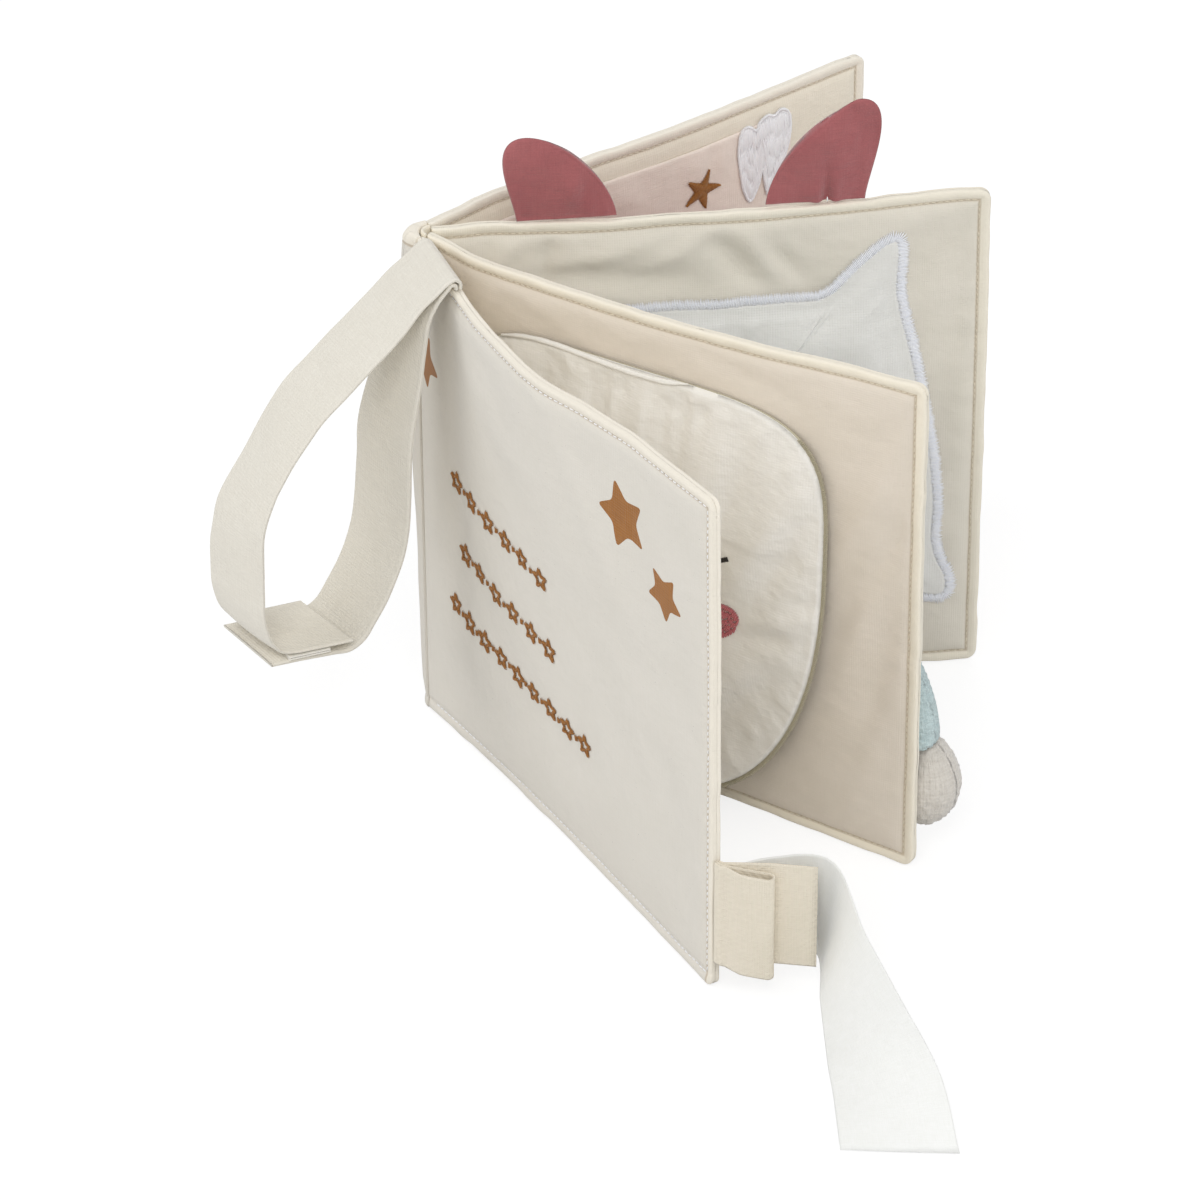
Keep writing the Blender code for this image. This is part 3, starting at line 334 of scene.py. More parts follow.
def smooth_route(points, steps=8):
    """A smooth curve through the points, as in the part's source but finer."""
    points = np.asarray(points, float)
    runs = np.diff(points, axis=0)
    sizes = np.linalg.norm(runs, axis=1)
    slopes = runs / sizes[:, None]
    tangents = [slopes[0]]
    for i in range(1, len(runs)):
        tangents.append((slopes[i - 1] * sizes[i] + slopes[i] * sizes[i - 1]) / (sizes[i] + sizes[i - 1]))
    tangents.append(slopes[-1])
    route = []
    for i, run in enumerate(runs):
        for k in range(steps):
            t = k / steps
            point = points[i] + run * (3 - 2 * t) * t**2 + tangents[i] * sizes[i] * t * (1 - t) ** 2
            route.append(point - tangents[i + 1] * sizes[i] * (1 - t) * t**2)
    route.append(points[-1])
    return np.array(route)


# Materials: cotton, twill, jersey, satin, knitting yarn and plush, all from nodes

def linear(colour, share=1.0):
    return tuple(((c * share / 255 + 0.055) / 1.055) ** 2.4 for c in colour) + (1.0,)


def adder(block):
    """Gives the function that adds a node to a material or world, and returns one of its outputs."""
    block.use_nodes = True
    tree = block.node_tree

    def add(kind, inputs=(), output=0, **settings):
        node = tree.nodes.new("ShaderNode" + kind)
        for key, value in settings.items():
            setattr(node, key, value)
        for key, value in dict(inputs).items():
            if isinstance(value, bpy.types.NodeSocket):
                tree.links.new(value, node.inputs[key])
            else:
                node.inputs[key].default_value = value
        return node.outputs[output] if node.outputs else None
    return add


def fabric(
    name, colour, second=None, roughness=0.85, thread=0.42, thread_bump=0.25, slub=0.22, twill=0.0,
    fine_wrinkle=0.25, wrinkle_size=5.0, mottle=0.2, specks=0.0, sheen=0.12, edge=None, foot=True,
):
    """A woven cloth: thread and slub lines, mottling, specks and fine wrinkles, in UV millimetres.
    A leaf's panel has its rolled edge in the colour edge, partly the seam's own cream and partly painted
    highlight where the roll catches light, and painted shade along its stitch groove; foot=False keeps both off the
    foot."""
    made = bpy.data.materials.new(name)
    add = adder(made)
    made.diffuse_color = linear(colour)
    place = add("UVMap", uv_map="cloth")

    def scaled(x, y, turn=0.0):
        return add("Mapping", {"Vector": place, "Scale": (x, y, 1), "Rotation": (0, 0, turn)})

    def noise(vector, detail, rough_share=0.5):
        inputs = {"Vector": vector, "Scale": 1.0, "Detail": detail, "Roughness": rough_share}
        return add("TexNoise", inputs, "Fac")

    def wave(direction, size, turn=0.0):
        inputs = {"Vector": scaled(1, 1, turn), "Scale": 0.314 / size * 0.5, "Distortion": 0.6,
                  "Detail": 1.0, "Detail Scale": 0.6}
        return add("TexWave", inputs, "Fac", wave_type="BANDS", bands_direction=direction)

    def mixed(factor, a, b, blend_type="MIX"):
        return add("Mix", {0: factor, 6: a, 7: b}, 2, data_type="RGBA", blend_type=blend_type)

    def spread(value, low, high, out_low=0.0, out_high=1.0):
        inputs = {"Value": value, "From Min": low, "From Max": high, "To Min": out_low, "To Max": out_high}
        return add("MapRange", inputs)

    def maths(operation, *values):
        return add("Math", enumerate(values), operation=operation)

    def bumped(height, strength, distance, **more):
        return add("Bump", {"Strength": strength, "Distance": distance, "Height": height, **more})

    warp = noise(scaled(1 / thread, 0.055 / thread), 1.0)
    weft = noise(scaled(0.055 / thread, 1 / thread), 1.0)
    low = linear(second or tuple(c * (0.955 if i < 2 else 0.93) for i, c in enumerate(colour)))
    high = linear(tuple(min(c * 1.025 + 2, 255) for c in colour))
    tone, other = (mixed(spread(way, 0.3, 0.72, 0.5 - slub, 0.5 + slub), low, high) for way in (warp, weft))
    tone = mixed(0.5, tone, other)
    tone = mixed(spread(noise(scaled(0.045, 0.06), 3.0), 0.35, 0.75, 0, mottle), tone, low)
    if specks:
        dots = spread(noise(scaled(2.1, 2.6), 0.0), 0.80, 0.86, 0, specks)
        dots = mixed(1.0, dots, spread(noise(scaled(0.21, 0.17), 0.0), 0.55, 0.6), "MULTIPLY")
        tone = mixed(dots, tone, linear(colour, 0.62))
    if edge:
        x, y = (add("SeparateXYZ", {0: place}, k) for k in (0, 1))
        inset = maths("MINIMUM", maths("SUBTRACT", 180, x), maths("SUBTRACT", 180, y))
        # foot=False keeps the painted edge highlight and the painted groove shade off the foot.
        inset = maths("MINIMUM", inset, y) if foot else inset
        # The rolled edge's colour: partly the seam's own cream cloth, partly painted highlight where the roll catches
        # light from above.
        tone = mixed(spread(inset, 3.3, 4.4, 1.0, 0.0), tone, linear(edge))
        # Painted shade: a darker line along the stitch groove, 4.05 mm in from the edge.
        line = maths("ABSOLUTE", maths("SUBTRACT", inset, 4.05))
        groove_shade = linear(tuple(c * share for c, share in zip(edge, (0.80, 0.76, 0.71))))
        tone = mixed(spread(line, 0.15, 0.7, 0.8, 0.0), tone, groove_shade)
    height = maths("MULTIPLY_ADD", wave("Y", thread), 1.0, wave("X", thread))
    if twill:
        height = maths("MULTIPLY_ADD", wave("X", thread * 2.2, math.radians(38)), twill, height)
    for way in (warp, weft):
        height = maths("MULTIPLY_ADD", way, 0.9, height)
    weave = bumped(height, thread_bump, 0.00012)
    soft = noise(scaled(1 / wrinkle_size, 1.3 / wrinkle_size, 0.5), 4.0, 0.45)
    shader = made.node_tree.nodes["Principled BSDF"].inputs
    for key, value in (("Roughness", roughness), ("Sheen Weight", sheen), ("Sheen Roughness", 0.5),
                       ("Specular IOR Level", 0.25)):
        shader[key].default_value = value
    made.node_tree.links.new(tone, shader["Base Color"])
    made.node_tree.links.new(bumped(soft, fine_wrinkle, 0.0012, Normal=weave), shader["Normal"])
    return made


def slot_of(cloth):
    """The record's slot that a material is named after, without Blender's own ending."""
    return cloth.name.split(".")[0]


def threads(name, colour, second=None, roughness=0.55):
    return fabric(name, colour, second, roughness, thread=0.25, slub=0.45, mottle=0.0, fine_wrinkle=0.0)


# The cover's lighter edge colour, partly painted highlight, goes on its top and fore edges only; its foot curves away
# from the light.
COVER = fabric("cover_cotton", (229, 224, 217), slub=0.12, specks=0.8, fine_wrinkle=0.3,
               edge=(244, 237, 223), foot=False)
LINING = fabric("lining_cotton", (243, 235, 221), edge=(247, 240, 226))
PAGE = fabric("page_cotton", (233, 223, 212), thread=0.38, slub=0.12, twill=0.8, mottle=0.4, fine_wrinkle=0.4,
              wrinkle_size=8.0, edge=(246, 238, 221))
SECOND = fabric("second_page_cotton", (230, 224, 214), thread=0.38, slub=0.12, mottle=0.35, fine_wrinkle=0.4,
                wrinkle_size=7.0, edge=(244, 237, 221))
PANEL = fabric("panel_cotton", (247, 234, 226), fine_wrinkle=0.3)
TWILL = fabric("strap_twill", (234, 230, 220), (224, 218, 205), thread=0.5, twill=1.2, thread_bump=0.4)
TAPE = fabric("label_tape", (238, 229, 214), thread=0.4, twill=1.4, thread_bump=0.5)
HOOK = fabric("hook_tape", (243, 240, 235), thread=0.9, thread_bump=0.9)
SATIN = fabric("label_satin", (250, 251, 252), roughness=0.42, thread=0.3, thread_bump=0.15, sheen=0.05)
FLAP = fabric("flap_cotton", (244, 241, 238), fine_wrinkle=0.45, wrinkle_size=4.0, thread_bump=0.15, slub=0.15)
FLAP_BACK = fabric("flap_lining", (196, 189, 168), thread=0.5)
OVERLOCK = fabric("overlock_thread", (178, 170, 148), roughness=0.6, thread=0.25, mottle=0.0, fine_wrinkle=0.0)
PILLOW = fabric("pillow_cotton", (234, 233, 232), fine_wrinkle=0.3, slub=0.15)
# The rose's darker second colour, mottled at random, is painted shade standing in for the fold shading of the ears.
ROSE = fabric("rose_cotton", (180, 109, 110), (156, 87, 90), thread=0.4, twill=0.5, sheen=0.45, mottle=0.7,
              fine_wrinkle=0.5)
# The satin border's lilac second white, mixed through its threads, is painted shade standing in for the lilac shade on
# its inner half.
BORDER = fabric("satin_border", (252, 252, 253), (234, 237, 248), roughness=0.42, thread=0.3, slub=0.4,
                mottle=0.0, fine_wrinkle=0.0, sheen=0.2)
KNIT = fabric("blue_knit", (212, 227, 227), (184, 205, 207), thread=0.35, slub=0.5, mottle=0.3, sheen=0.4,
              thread_bump=0.7, fine_wrinkle=0.3, wrinkle_size=1.2)
PLUSH = fabric("white_plush", (226, 221, 213), (206, 199, 189), thread=0.5, slub=0.4, sheen=0.6,
               thread_bump=0.6, fine_wrinkle=0.6, wrinkle_size=1.6)
WHITE_THREAD = threads("white_thread", (253, 253, 254), (244, 245, 250))
CREAM_THREAD = threads("cream_thread", (221, 212, 195))
BROWN_THREAD = threads("brown_thread", (172, 118, 58), (134, 84, 34))
BROWN_PRINT = fabric("brown_print", (168, 112, 50), (150, 96, 40), roughness=0.6, thread=0.5, slub=0.5,
                     mottle=0.5, fine_wrinkle=0.1, thread_bump=0.5)
ROSE_THREAD = threads("rose_thread", (205, 122, 126), (176, 94, 100))
DARK_THREAD = threads("dark_thread", (48, 43, 38))

# The leaves: half their thickness by the distance from their edges, in millimetres

EDGE_LOOK = [
    (0, 0.06), (0.08, 0.50), (0.3, 1.05), (0.7, 1.45), (1.2, 1.62), (1.8, 1.66), (2.6, 1.50), (3.3, 1.14),
    (4.0, 0.82), (4.7, 1.08), (5.6, 1.55), (7.2, 1.92), (12.5, 2.25), (20, 2.5), (42, 2.7), (90, 2.85),
]
ROOT_LOOK = [(0, 0.45), (0.15, 1.0), (0.6, 1.4), (1.3, 1.6), (42, 2.5), (90, 2.8)]
SMOOTH_EDGE = [(0, 1.6), (7.5, 1.9), (20, 2.5), (90, 2.8)]
EDGE_LINES = np.array([0, 0.08, 0.3, 0.7, 1.2, 1.8, 2.6, 3.2, 3.6, 4, 4.4, 4.9, 5.6, 7, 8.8, 10.8, 12.6]) * MM
ROOT_LINES = ROOT_GAP + np.array([0, 0.15, 0.6, 1.3, 2.4, 4, 6, 8.4, 10.5]) * MM
CORNER = 4.0 * MM
STITCH_INSET, STITCH_ROOT, STITCH_CORNER, STITCH_LENGTH, STITCH_PITCH = 4.0, 5.0, 0.6, 1.75, 2.2


def inset_of(along, height):
    """How far a place lies in from a leaf's free edges, round its two fore corners."""
    across = along - (WIDTH - CORNER)
    up = np.abs(height - HEIGHT / 2) - (HEIGHT / 2 - CORNER)
    outside = np.hypot(np.maximum(across, 0), np.maximum(up, 0))
    return CORNER - outside - np.minimum(np.maximum(across, up), 0)


def rounded(along, height):
    """Draws the corners of a leaf's grid in to their curve."""
    u = (along - (WIDTH - CORNER)) / CORNER
    side = np.where(height > HEIGHT / 2, 1, -1)
    v = (np.abs(height - HEIGHT / 2) - (HEIGHT / 2 - CORNER)) / CORNER
    corner = (u > 0) & (v > 0)
    u1, v1 = np.where(corner, u, 1), np.where(corner, v, 1)
    shrink = np.maximum(u1, v1) / np.hypot(u1, v1)
    a = np.where(corner, WIDTH - CORNER + u1 * shrink * CORNER, along)
    h = np.where(corner, HEIGHT / 2 + side * (HEIGHT / 2 - CORNER + v1 * shrink * CORNER), height)
    return a, h


class Face:
    """One side of a leaf, with its wrinkles: side -1 is the front and 1 the back."""

    def __init__(self, leaf, side, seed, cloth, panel, wrinkle, pucker=0.25, bend=0.6, folds=()):
        self.leaf, self.side, self.seed, self.cloth = leaf, side, seed, cloth
        self.wrinkle, self.pucker, self.folds = wrinkle * MM, pucker * MM, folds
        self.field = crumpled(seed, 0.02, bend)
        inner = ("wadding", "crinkle_film") if side < 0 and leaf != "front_cover" or panel == "outer_panel" else ()
        inner = inner if (leaf, panel) != ("back_cover", "outer_panel") else ()
        self.nodes = [f"{leaf}_{part}" for part in (panel, *inner)]
        self.out = -side * OUT[leaf]

    def rise(self, along, height):
        """How far the face stands from the leaf's middle."""
        inset = inset_of(along, height)
        half = np.minimum(profile(inset, EDGE_LOOK), profile(along - ROOT_GAP, ROOT_LOOK))
        top = np.minimum(height, HEIGHT - height) < WIDTH - along
        beside = np.where(top, along, height) / (5.5 * MM)
        rim = rough(beside, np.where(top, 3.0, 9.0) + inset / (22 * MM), self.seed + 5)
        rim = rim * bump(inset, 8.5, 5) * self.pucker
        roll = grain(along, height, 9, 9, 0.10, self.seed + 7)
        roll *= ease(0.2 * MM, 1.2 * MM, inset) * (1 - ease(3.4 * MM, 5 * MM, inset))
        half = half + rim + roll * ease(0.5 * MM, 3 * MM, along)
        inside = ease(5.5 * MM, 15 * MM, inset) * ease(1.5 * MM, 12 * MM, along)
        half = half + sample(self.field, along / WIDTH, height / HEIGHT) * self.wrinkle * inside
        half = half + folded(along, height, self.folds, 0.006) * ease(4.4 * MM, 8 * MM, inset)
        return np.maximum(half, 0)

    def row(self, along, height, proud=0.0):
        out = self.rise(along, height) + proud
        depth = middle(self.leaf) - sway(self.leaf, along, height) + self.side * out
        return to_row(self.leaf, along, depth, height)


def leaf_face(name, face):
    """A leaf's panel on one side, from its root to the seam round its edges."""
    step = 1.5 * MM
    inner = np.arange(EDGE_LINES[-1] + step, WIDTH - EDGE_LINES[-1] - step / 2, step)
    alongs = np.concatenate([ROOT_LINES, inner, WIDTH - EDGE_LINES[::-1]])
    heights = np.concatenate([EDGE_LINES, inner, HEIGHT - EDGE_LINES[::-1]])
    a, h = rounded(*np.meshgrid(alongs, heights, indexing="ij"))
    inset = inset_of(a, h)
    notch = 0.5 * MM * (1 - ease(0, 0.5 * MM, inset))
    ripple = grain(a, h, 7, 7, 0.3, face.seed // 2 + 900) * ease(2 * MM, 9 * MM, a)
    drawn = notch + ripple * (1 - ease(1 * MM, 5 * MM, inset))
    up = np.sign(HEIGHT / 2 - h) * drawn * (np.minimum(h, HEIGHT - h) < 5 * MM)
    moved = np.array((0, 0, 1.0)) * up[..., None]
    moved = moved - np.array(directions(face.leaf)[0]) * (drawn * (WIDTH - a < 5 * MM))[..., None]
    depth = middle(face.leaf) - sway(face.leaf, a, h) + face.side * 0.00005
    sewn(name, face.row(a, h) + moved, to_row(face.leaf, a, depth, h) + moved, face.cloth, face.leaf, a, h,
         slot_of(face.cloth), face.nodes, wrap=False)


def top_stitches(name, face, cloth):
    """A row of stitches round a leaf's three free edges, in its stitch groove."""
    top, foot, fore = HEIGHT - STITCH_INSET * MM, STITCH_INSET * MM, WIDTH - STITCH_INSET * MM
    root, corner, legs = STITCH_ROOT * MM, STITCH_CORNER * MM, []
    for one, two in (((root, top), (fore - corner, top)), ((fore, top - corner), (fore, foot + corner)),
                     ((fore - corner, foot), (root, foot))):
        run = math.hypot(two[0] - one[0], two[1] - one[1])
        count = int(run / (STITCH_PITCH * MM))
        ends = (np.arange(count) + 0.5) / count + np.array([[-1], [1]]) * STITCH_LENGTH * MM / 2 / run
        legs.append(np.stack([one[k] + (two[k] - one[k]) * ends for k in range(2)], -1))
    legs = np.concatenate(legs, 1)
    legs = legs + np.random.default_rng(face.seed).uniform(-0.12, 0.12, legs.shape) * MM
    starts, ends = (face.row(leg[:, 0], leg[:, 1], 0.03 * MM) for leg in legs)
    return yarns(name, starts, ends, face.out, 0.21, 0.14, cloth, face.leaf)


COVER_FOLDS = [
    (60, 150, -38, 34, 9, 1.0), (150, 60, 70, 40, 12, -1.0), (90, 25, 10, 40, 10, 0.9), (30, 90, 80, 45, 9, -0.9),
    (110, 150, -60, 30, 6, 0.8),
]
PAGE_ONE_FOLDS = [
    (160, 128, 66, 26, 4.0, 1.4), (167, 114, 66, 24, 3.6, -1.4), (160, 92, 78, 32, 4.5, 1.2),
    (166, 68, 80, 38, 4.5, -1.1), (160, 30, 76, 24, 5, 0.8), (45, 170, -20, 22, 3, 0.5),
    (120, 168, -15, 24, 2.5, -0.5), (25, 166, 60, 12, 3, 0.7),
]
PAGE_TWO_FOLDS = [
    (96, 162, -52, 13, 4.0, -2.3), (104, 166, -60, 11, 3.4, 1.8), (112, 161, -48, 11, 3.4, -1.8),
    (62, 158, -6, 26, 5, -2.2), (52, 167, 12, 22, 3.6, 1.7), (80, 168, 30, 12, 3.4, 1.5),
    (36, 165, 78, 13, 3.2, -1.5), (22, 168, 60, 12, 3.2, 1.3), (167, 120, 84, 50, 4.5, -0.8),
    (172, 60, 88, 40, 4, 0.7), (140, 15, 5, 30, 4, -0.6), (155, 170, 10, 14, 4, 0.5),
]
FACES = {
    "cover_front": Face("front_cover", -1, 10, COVER, "outer_panel", 0.55, 0.18, 1.2, COVER_FOLDS),
    "cover_inside": Face("front_cover", 1, 10, LINING, "lining", 0.6),
    "page_one_front": Face("first_page", -1, 36, PAGE, "front_panel", 0.55, 0.32, folds=PAGE_ONE_FOLDS),
    "page_one_back": Face("first_page", 1, 36, SECOND, "back_panel", 0.6),
    "page_two_front": Face("second_page", -1, 52, SECOND, "front_panel", 0.9, 0.45, folds=PAGE_TWO_FOLDS),
    "page_two_back": Face("second_page", 1, 52, PAGE, "back_panel", 0.6),
    "rear_inside": Face("back_cover", -1, 70, LINING, "lining", 0.4, 0.2),
    "rear_back": Face("back_cover", 1, 70, COVER, "outer_panel", 0.5, 0.15, 1.2),
}
for name, face in FACES.items():
    leaf_face(name, face)
for name, face in FACES.items():
    top_stitches(name + "_stitches", face, WHITE_THREAD if face.cloth == COVER else CREAM_THREAD)

# The spine: the cover's cloth round the leaves' roots, in three strips, and the inner fold

WRAP_SWELL = [(0, -1.4), (3, -0.8), (8, -0.2), (20, 0.2), (60, 0.7), (120, 2.4), (180, 3.8)]
low, high = math.pi - SPINE_HALF_TURN, math.pi + SPINE_HALF_TURN


def arc_strip(name, node, centre, radius, thick, start, end, cloth, swollen=0.0):
    """A strip of an upright arc with rolled top and foot."""
    rim = EDGE_LINES[:12]
    heights = np.concatenate([rim, np.linspace(10 * MM, HEIGHT - 10 * MM, 40), HEIGHT - rim[::-1]])
    t, h = np.meshgrid(np.linspace(start, end, 14), heights, indexing="ij")
    inset = np.minimum(h, HEIGHT - h)
    look = np.minimum(profile(inset, EDGE_LOOK) / (1.64 * MM), 1.05)
    wave = rough(t * 6, h / (12 * MM), 5) * 0.12 * MM * ease(4 * MM, 12 * MM, inset)
    swell = profile(h, WRAP_SWELL) * np.sin(np.pi * np.clip((t - low) / (high - low), 0, 1)) ** 1.5
    swell = swollen * swell * (0.5 + 0.5 * ease(0, 4 * MM, inset))
    mid = radius - thick / 2

    def ring(reach):
        return np.stack([centre.x + reach * np.cos(t), centre.y + reach * np.sin(t), h], -1)

    outer = ring(mid + thick / 2 * look + wave + swell)
    inner = ring(mid - thick / 2 * look + wave + np.minimum(swell, 0))
    uv = np.stack([t * radius, h], -1) / MM
    made = shell(name, outer, inner, cloth, None, uv, slot_of(cloth))
    line = [centre + Vector((math.cos(x) * radius, math.sin(x) * radius, HEIGHT / 2)) for x in (start, end)]
    tuple(line[0])
    tuple(line[1])
    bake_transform(made)
    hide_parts(node)


cuts = [low + (high - low) * share for share in (-0.01, 0.33, 0.67, 1.01)]
for i in range(3):
    arc_strip(f"spine_wrap_{i + 1}", "spine_cover", SPINE_CENTRE, SPINE_RADIUS + 0.4 * MM, 2.4 * MM,
              cuts[i], cuts[i + 1], COVER, swollen=1.0)
arc_strip("inner_fold", "folio_fold", PLACES["first_page"], HALF_PITCH + ROLL_HALF + ROOT_GAP, 1.2 * MM,
          math.radians(90 + FAN["second_page"]) + 0.05, math.radians(270 + FAN["first_page"]) - 0.05,
          PAGE)

# The strap: two pressed bands of twill, whose points are shares of how far out and down they reach

STRAP_WIDTH, STRAP_INSET, STRAP_THICK = 0.028, 0.0085, 0.0011
STRAP_DROP, STRAP_REACH, STRAP_HANG_REACH = 0.122, 0.072, 0.0235
STRAP_AXIS_BACK, SEAM_SEAT, TAPE_THICK = 0.0015, 0.0006, 0.0005
INNER_HALF = [
    (0.030, 0.0), (0.034, -0.009), (0.085, -0.013), (0.160, 0.0), (0.262, 0.021), (0.42, 0.066),
    (0.56, 0.139), (0.68, 0.242), (0.785, 0.334), (0.889, 0.436), (0.962, 0.584), (1.0, 0.68), (1.085, 0.776),
    (1.234, 0.852), (1.468, 0.930), (1.66, 0.982), (1.82, 1.0), (2.05, 1.0), (2.36, 1.0), (2.70, 1.0), (2.94, 1.0),
]
OUTER_HALF = [
    (-0.010, 0.0), (-0.0097, -0.015), (0.014, -0.027), (0.045, -0.021), (0.078, -0.006), (0.108, 0.009),
    (0.167, 0.034), (0.278, 0.098), (0.358, 0.143), (0.44, 0.185), (0.55, 0.246), (0.66, 0.304),
    (0.754, 0.375), (0.851, 0.47), (0.915, 0.54), (0.964, 0.61), (0.99, 0.70), (1.0, 0.80),
    (0.998, 0.90), (0.97, 0.96), (0.92, 0.993), (0.86, 1.0), (0.77, 1.0), (0.68, 1.0), (0.59, 1.0),
]
INNER_SKEW = [(2, 0), (20, 1.0), (45, 5.5), (70, 7.3), (220, 7.0)]
OUTER_SKEW = [(16, 0), (45, 3.5), (95, 3.4), (125, 8.5), (220, 8.5)]
SECTION = np.array([(0, 0), (0.12, 0.55), (0.4, 0.9), (0.9, 1.08), (1.5, 0.96), (1.9, 0.84), (2.4, 0.95), (4.5, 1.0)])
COVER_FRAME = Matrix.Translation(PLACES["front_cover"]) @ Matrix.Rotation(math.radians(FAN["front_cover"]), 4, "Z")


def cover_seam(along):
    depth = middle("front_cover") - sway("front_cover", np.array(along), np.array(HEIGHT))
    return Vector((along, float(depth), HEIGHT))


def placed(matrix, points):
    matrix = np.array(matrix)
    return points @ matrix[:3, :3].T + matrix[:3, 3]


strap_start = cover_seam(STRAP_INSET)
strap_run = cover_seam(STRAP_INSET + STRAP_WIDTH) - strap_start
STRAP = (COVER_FRAME @ Matrix.Translation(strap_start)
         @ Matrix.Rotation(math.atan2(strap_run.y, strap_run.x), 4, "Z")
         @ Matrix.Translation((0, STRAP_AXIS_BACK, SEAM_SEAT)))


def band(name, node, shares, reach, drop, body, seed, skew):
    """A pressed tube of cloth along a route, with folded edges; its far edge hangs further out."""
    route = smooth_route([(-(out * reach + STRAP_AXIS_BACK), -down * drop) for out, down in shares], 7)
    width = STRAP_WIDTH / MM
    inset = np.concatenate([SECTION[:, 0], np.linspace(6.5, width - 6.5, 8), width - SECTION[::-1, 0]])
    half = np.concatenate([SECTION[:, 1], np.ones(8), SECTION[::-1, 1]]) * STRAP_THICK / 2
    run = np.gradient(route, axis=0)
    run /= np.linalg.norm(run, axis=1, keepdims=True)
    length = lengths(route)
    x = np.broadcast_to(inset[None, :] * MM, (len(route), len(inset)))
    s = length[:, None] + 0 * x
    free = ease(6 * MM, 30 * MM, s) * ease(6 * MM, 30 * MM, length[-1] - s)
    cup = grain(s, x, 30, 26, 0.8, seed) + grain(s, x, 11, 9, 0.22, seed + 1)
    cup = (cup + (2 * x / STRAP_WIDTH - 1) ** 2 * 0.7 * MM) * free
    shift = rough(s / (26 * MM), 0 * x, seed + 2) * 0.35 * MM * free
    turn = (x / STRAP_WIDTH - 0.5) * profile(s, skew)
    rows = []
    for side in (half, -half):
        offset = side[None, :] + cup
        y = route[:, :1] + turn - run[:, 1:] * offset
        z = route[:, 1:] + run[:, :1] * offset
        rows.append(np.stack([x + shift, y, z], -1))
    loop = np.concatenate([rows[0], rows[1][:, ::-1][:, 1:-1]], 1)
    far_side = np.where(np.arange(loop.shape[1]) < len(inset), 0, 60)[None, :]
    uv = np.stack(np.broadcast_arrays(loop[..., 0] / MM + far_side, length[:, None] / MM), -1)
    made = tube(name, placed(STRAP, loop), TWILL, body, uv, "strap_twill")
    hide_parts(node)


overlap = STRAP_THICK + 2 * TAPE_THICK + 3 * CLEARANCE
band("strap_inner", "strap_inner_half", INNER_HALF, STRAP_HANG_REACH, STRAP_DROP + overlap, "strap", 101, INNER_SKEW)
band("strap_outer", "strap_outer_half", OUTER_HALF, STRAP_REACH, STRAP_DROP, "strap_end", 111, OUTER_SKEW)
for node in ("strap_loop_tape", "strap_hook_tape"):
    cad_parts[node].data.materials[0] = HOOK

# The labels

LABEL_FOOT, LABEL_HEIGHT, LABEL_PITCH, LABEL_BEND, BEND_REACH = 0.0115, 0.038, 0.0008, 0.0010, 0.0024
TAB_REACH, TAB_FOLD, SHORT_LENGTH, LONG_WIDTH, LONG_LENGTH = 0.0170, 0.0032, 0.031, 0.036, 0.118
LOWER_EDGE = [
    (0.030, 0.127, 0.283), (0.068, 0.254, 0.236), (0.214, 0.184, 0.083),
    (0.370, 0.104, 0.0), (0.551, 0.013, 0.0), (0.735, -0.085, 0.0),
]
UPPER_EDGE = [
    (0.034, 0.127, 1.306), (0.110, 0.263, 1.292), (0.339, 0.237, 1.0),
    (0.542, 0.225, 0.722), (0.737, 0.216, 0.389), (0.903, 0.168, 0.0),
]
LABEL_TURN = math.radians(65)
LABEL_OUT = np.array((math.cos(LABEL_TURN), math.sin(LABEL_TURN), 0))
LABEL_SHARES = np.concatenate([[0, 0.02, 0.05, 0.1], np.linspace(0.18, 0.82, 9), [0.9, 0.95, 0.98, 1]])
LABELS = COVER_FRAME @ Matrix.Translation((WIDTH + CLEARANCE, middle("front_cover"), 0))


def label_foot(layer, reach, droop=0.0, aside=0.0):
    """A place on a label's foot, out from the seam and round the labels' common bend."""
    bend = LABEL_TURN * min(reach / BEND_REACH, 1)
    point = np.array((0, LABEL_BEND + LABEL_PITCH * 1.5, 0))
    point = point + np.array((math.sin(bend), -math.cos(bend), 0)) * (LABEL_BEND + LABEL_PITCH * layer)
    point = point + np.array((LABEL_OUT[1], -LABEL_OUT[0], 0)) * aside + LABEL_OUT * max(reach - BEND_REACH, 0)
    return point + np.array((0, 0, LABEL_FOOT - droop * reach))


def tape(name, node, lower, upper, thick, cloth, seed, ripple=0.0):
    """A ribbon between two edges, with selvedges a little thicker than its middle."""
    shares = LABEL_SHARES
    grid = lower[:, None, :] * (1 - shares[None, :, None]) + upper[:, None, :] * shares[None, :, None]
    length = lengths((lower + upper) / 2)[:, None]
    normal = np.cross(np.gradient(grid, axis=0), np.gradient(grid, axis=1))
    normal /= np.maximum(np.linalg.norm(normal, axis=-1, keepdims=True), 1e-12)
    wave = rough(length / (13 * MM), shares[None, :] * 1.7, seed) * ripple * MM * ease(8 * MM, 24 * MM, length)
    half = thick / 2 * np.where((shares < 0.06) | (shares > 0.94), 1.25, 1.0)[None, :, None]
    front, back = (placed(LABELS, grid + normal * (wave[..., None] + side)) for side in (half, -half))
    uv = np.stack(np.broadcast_arrays(shares * 38, length / MM), -1)
    made = shell(name, front, back, cloth, "labels", uv, slot_of(cloth))
    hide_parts(node)


def long_edge(shares, lift):
    floor = 0.0006 / 2 + 0.00003
    points = [label_foot(0, BEND_REACH * share) + lift for share in (0, 1 / 3, 2 / 3, 1)]
    points += [np.array((x * LONG_LENGTH, y * LONG_LENGTH, floor + z * LONG_WIDTH)) for x, y, z in shares]
    route = smooth_route(points, 8)
    route[:, 2] = np.maximum(route[:, 2], floor)
    return route


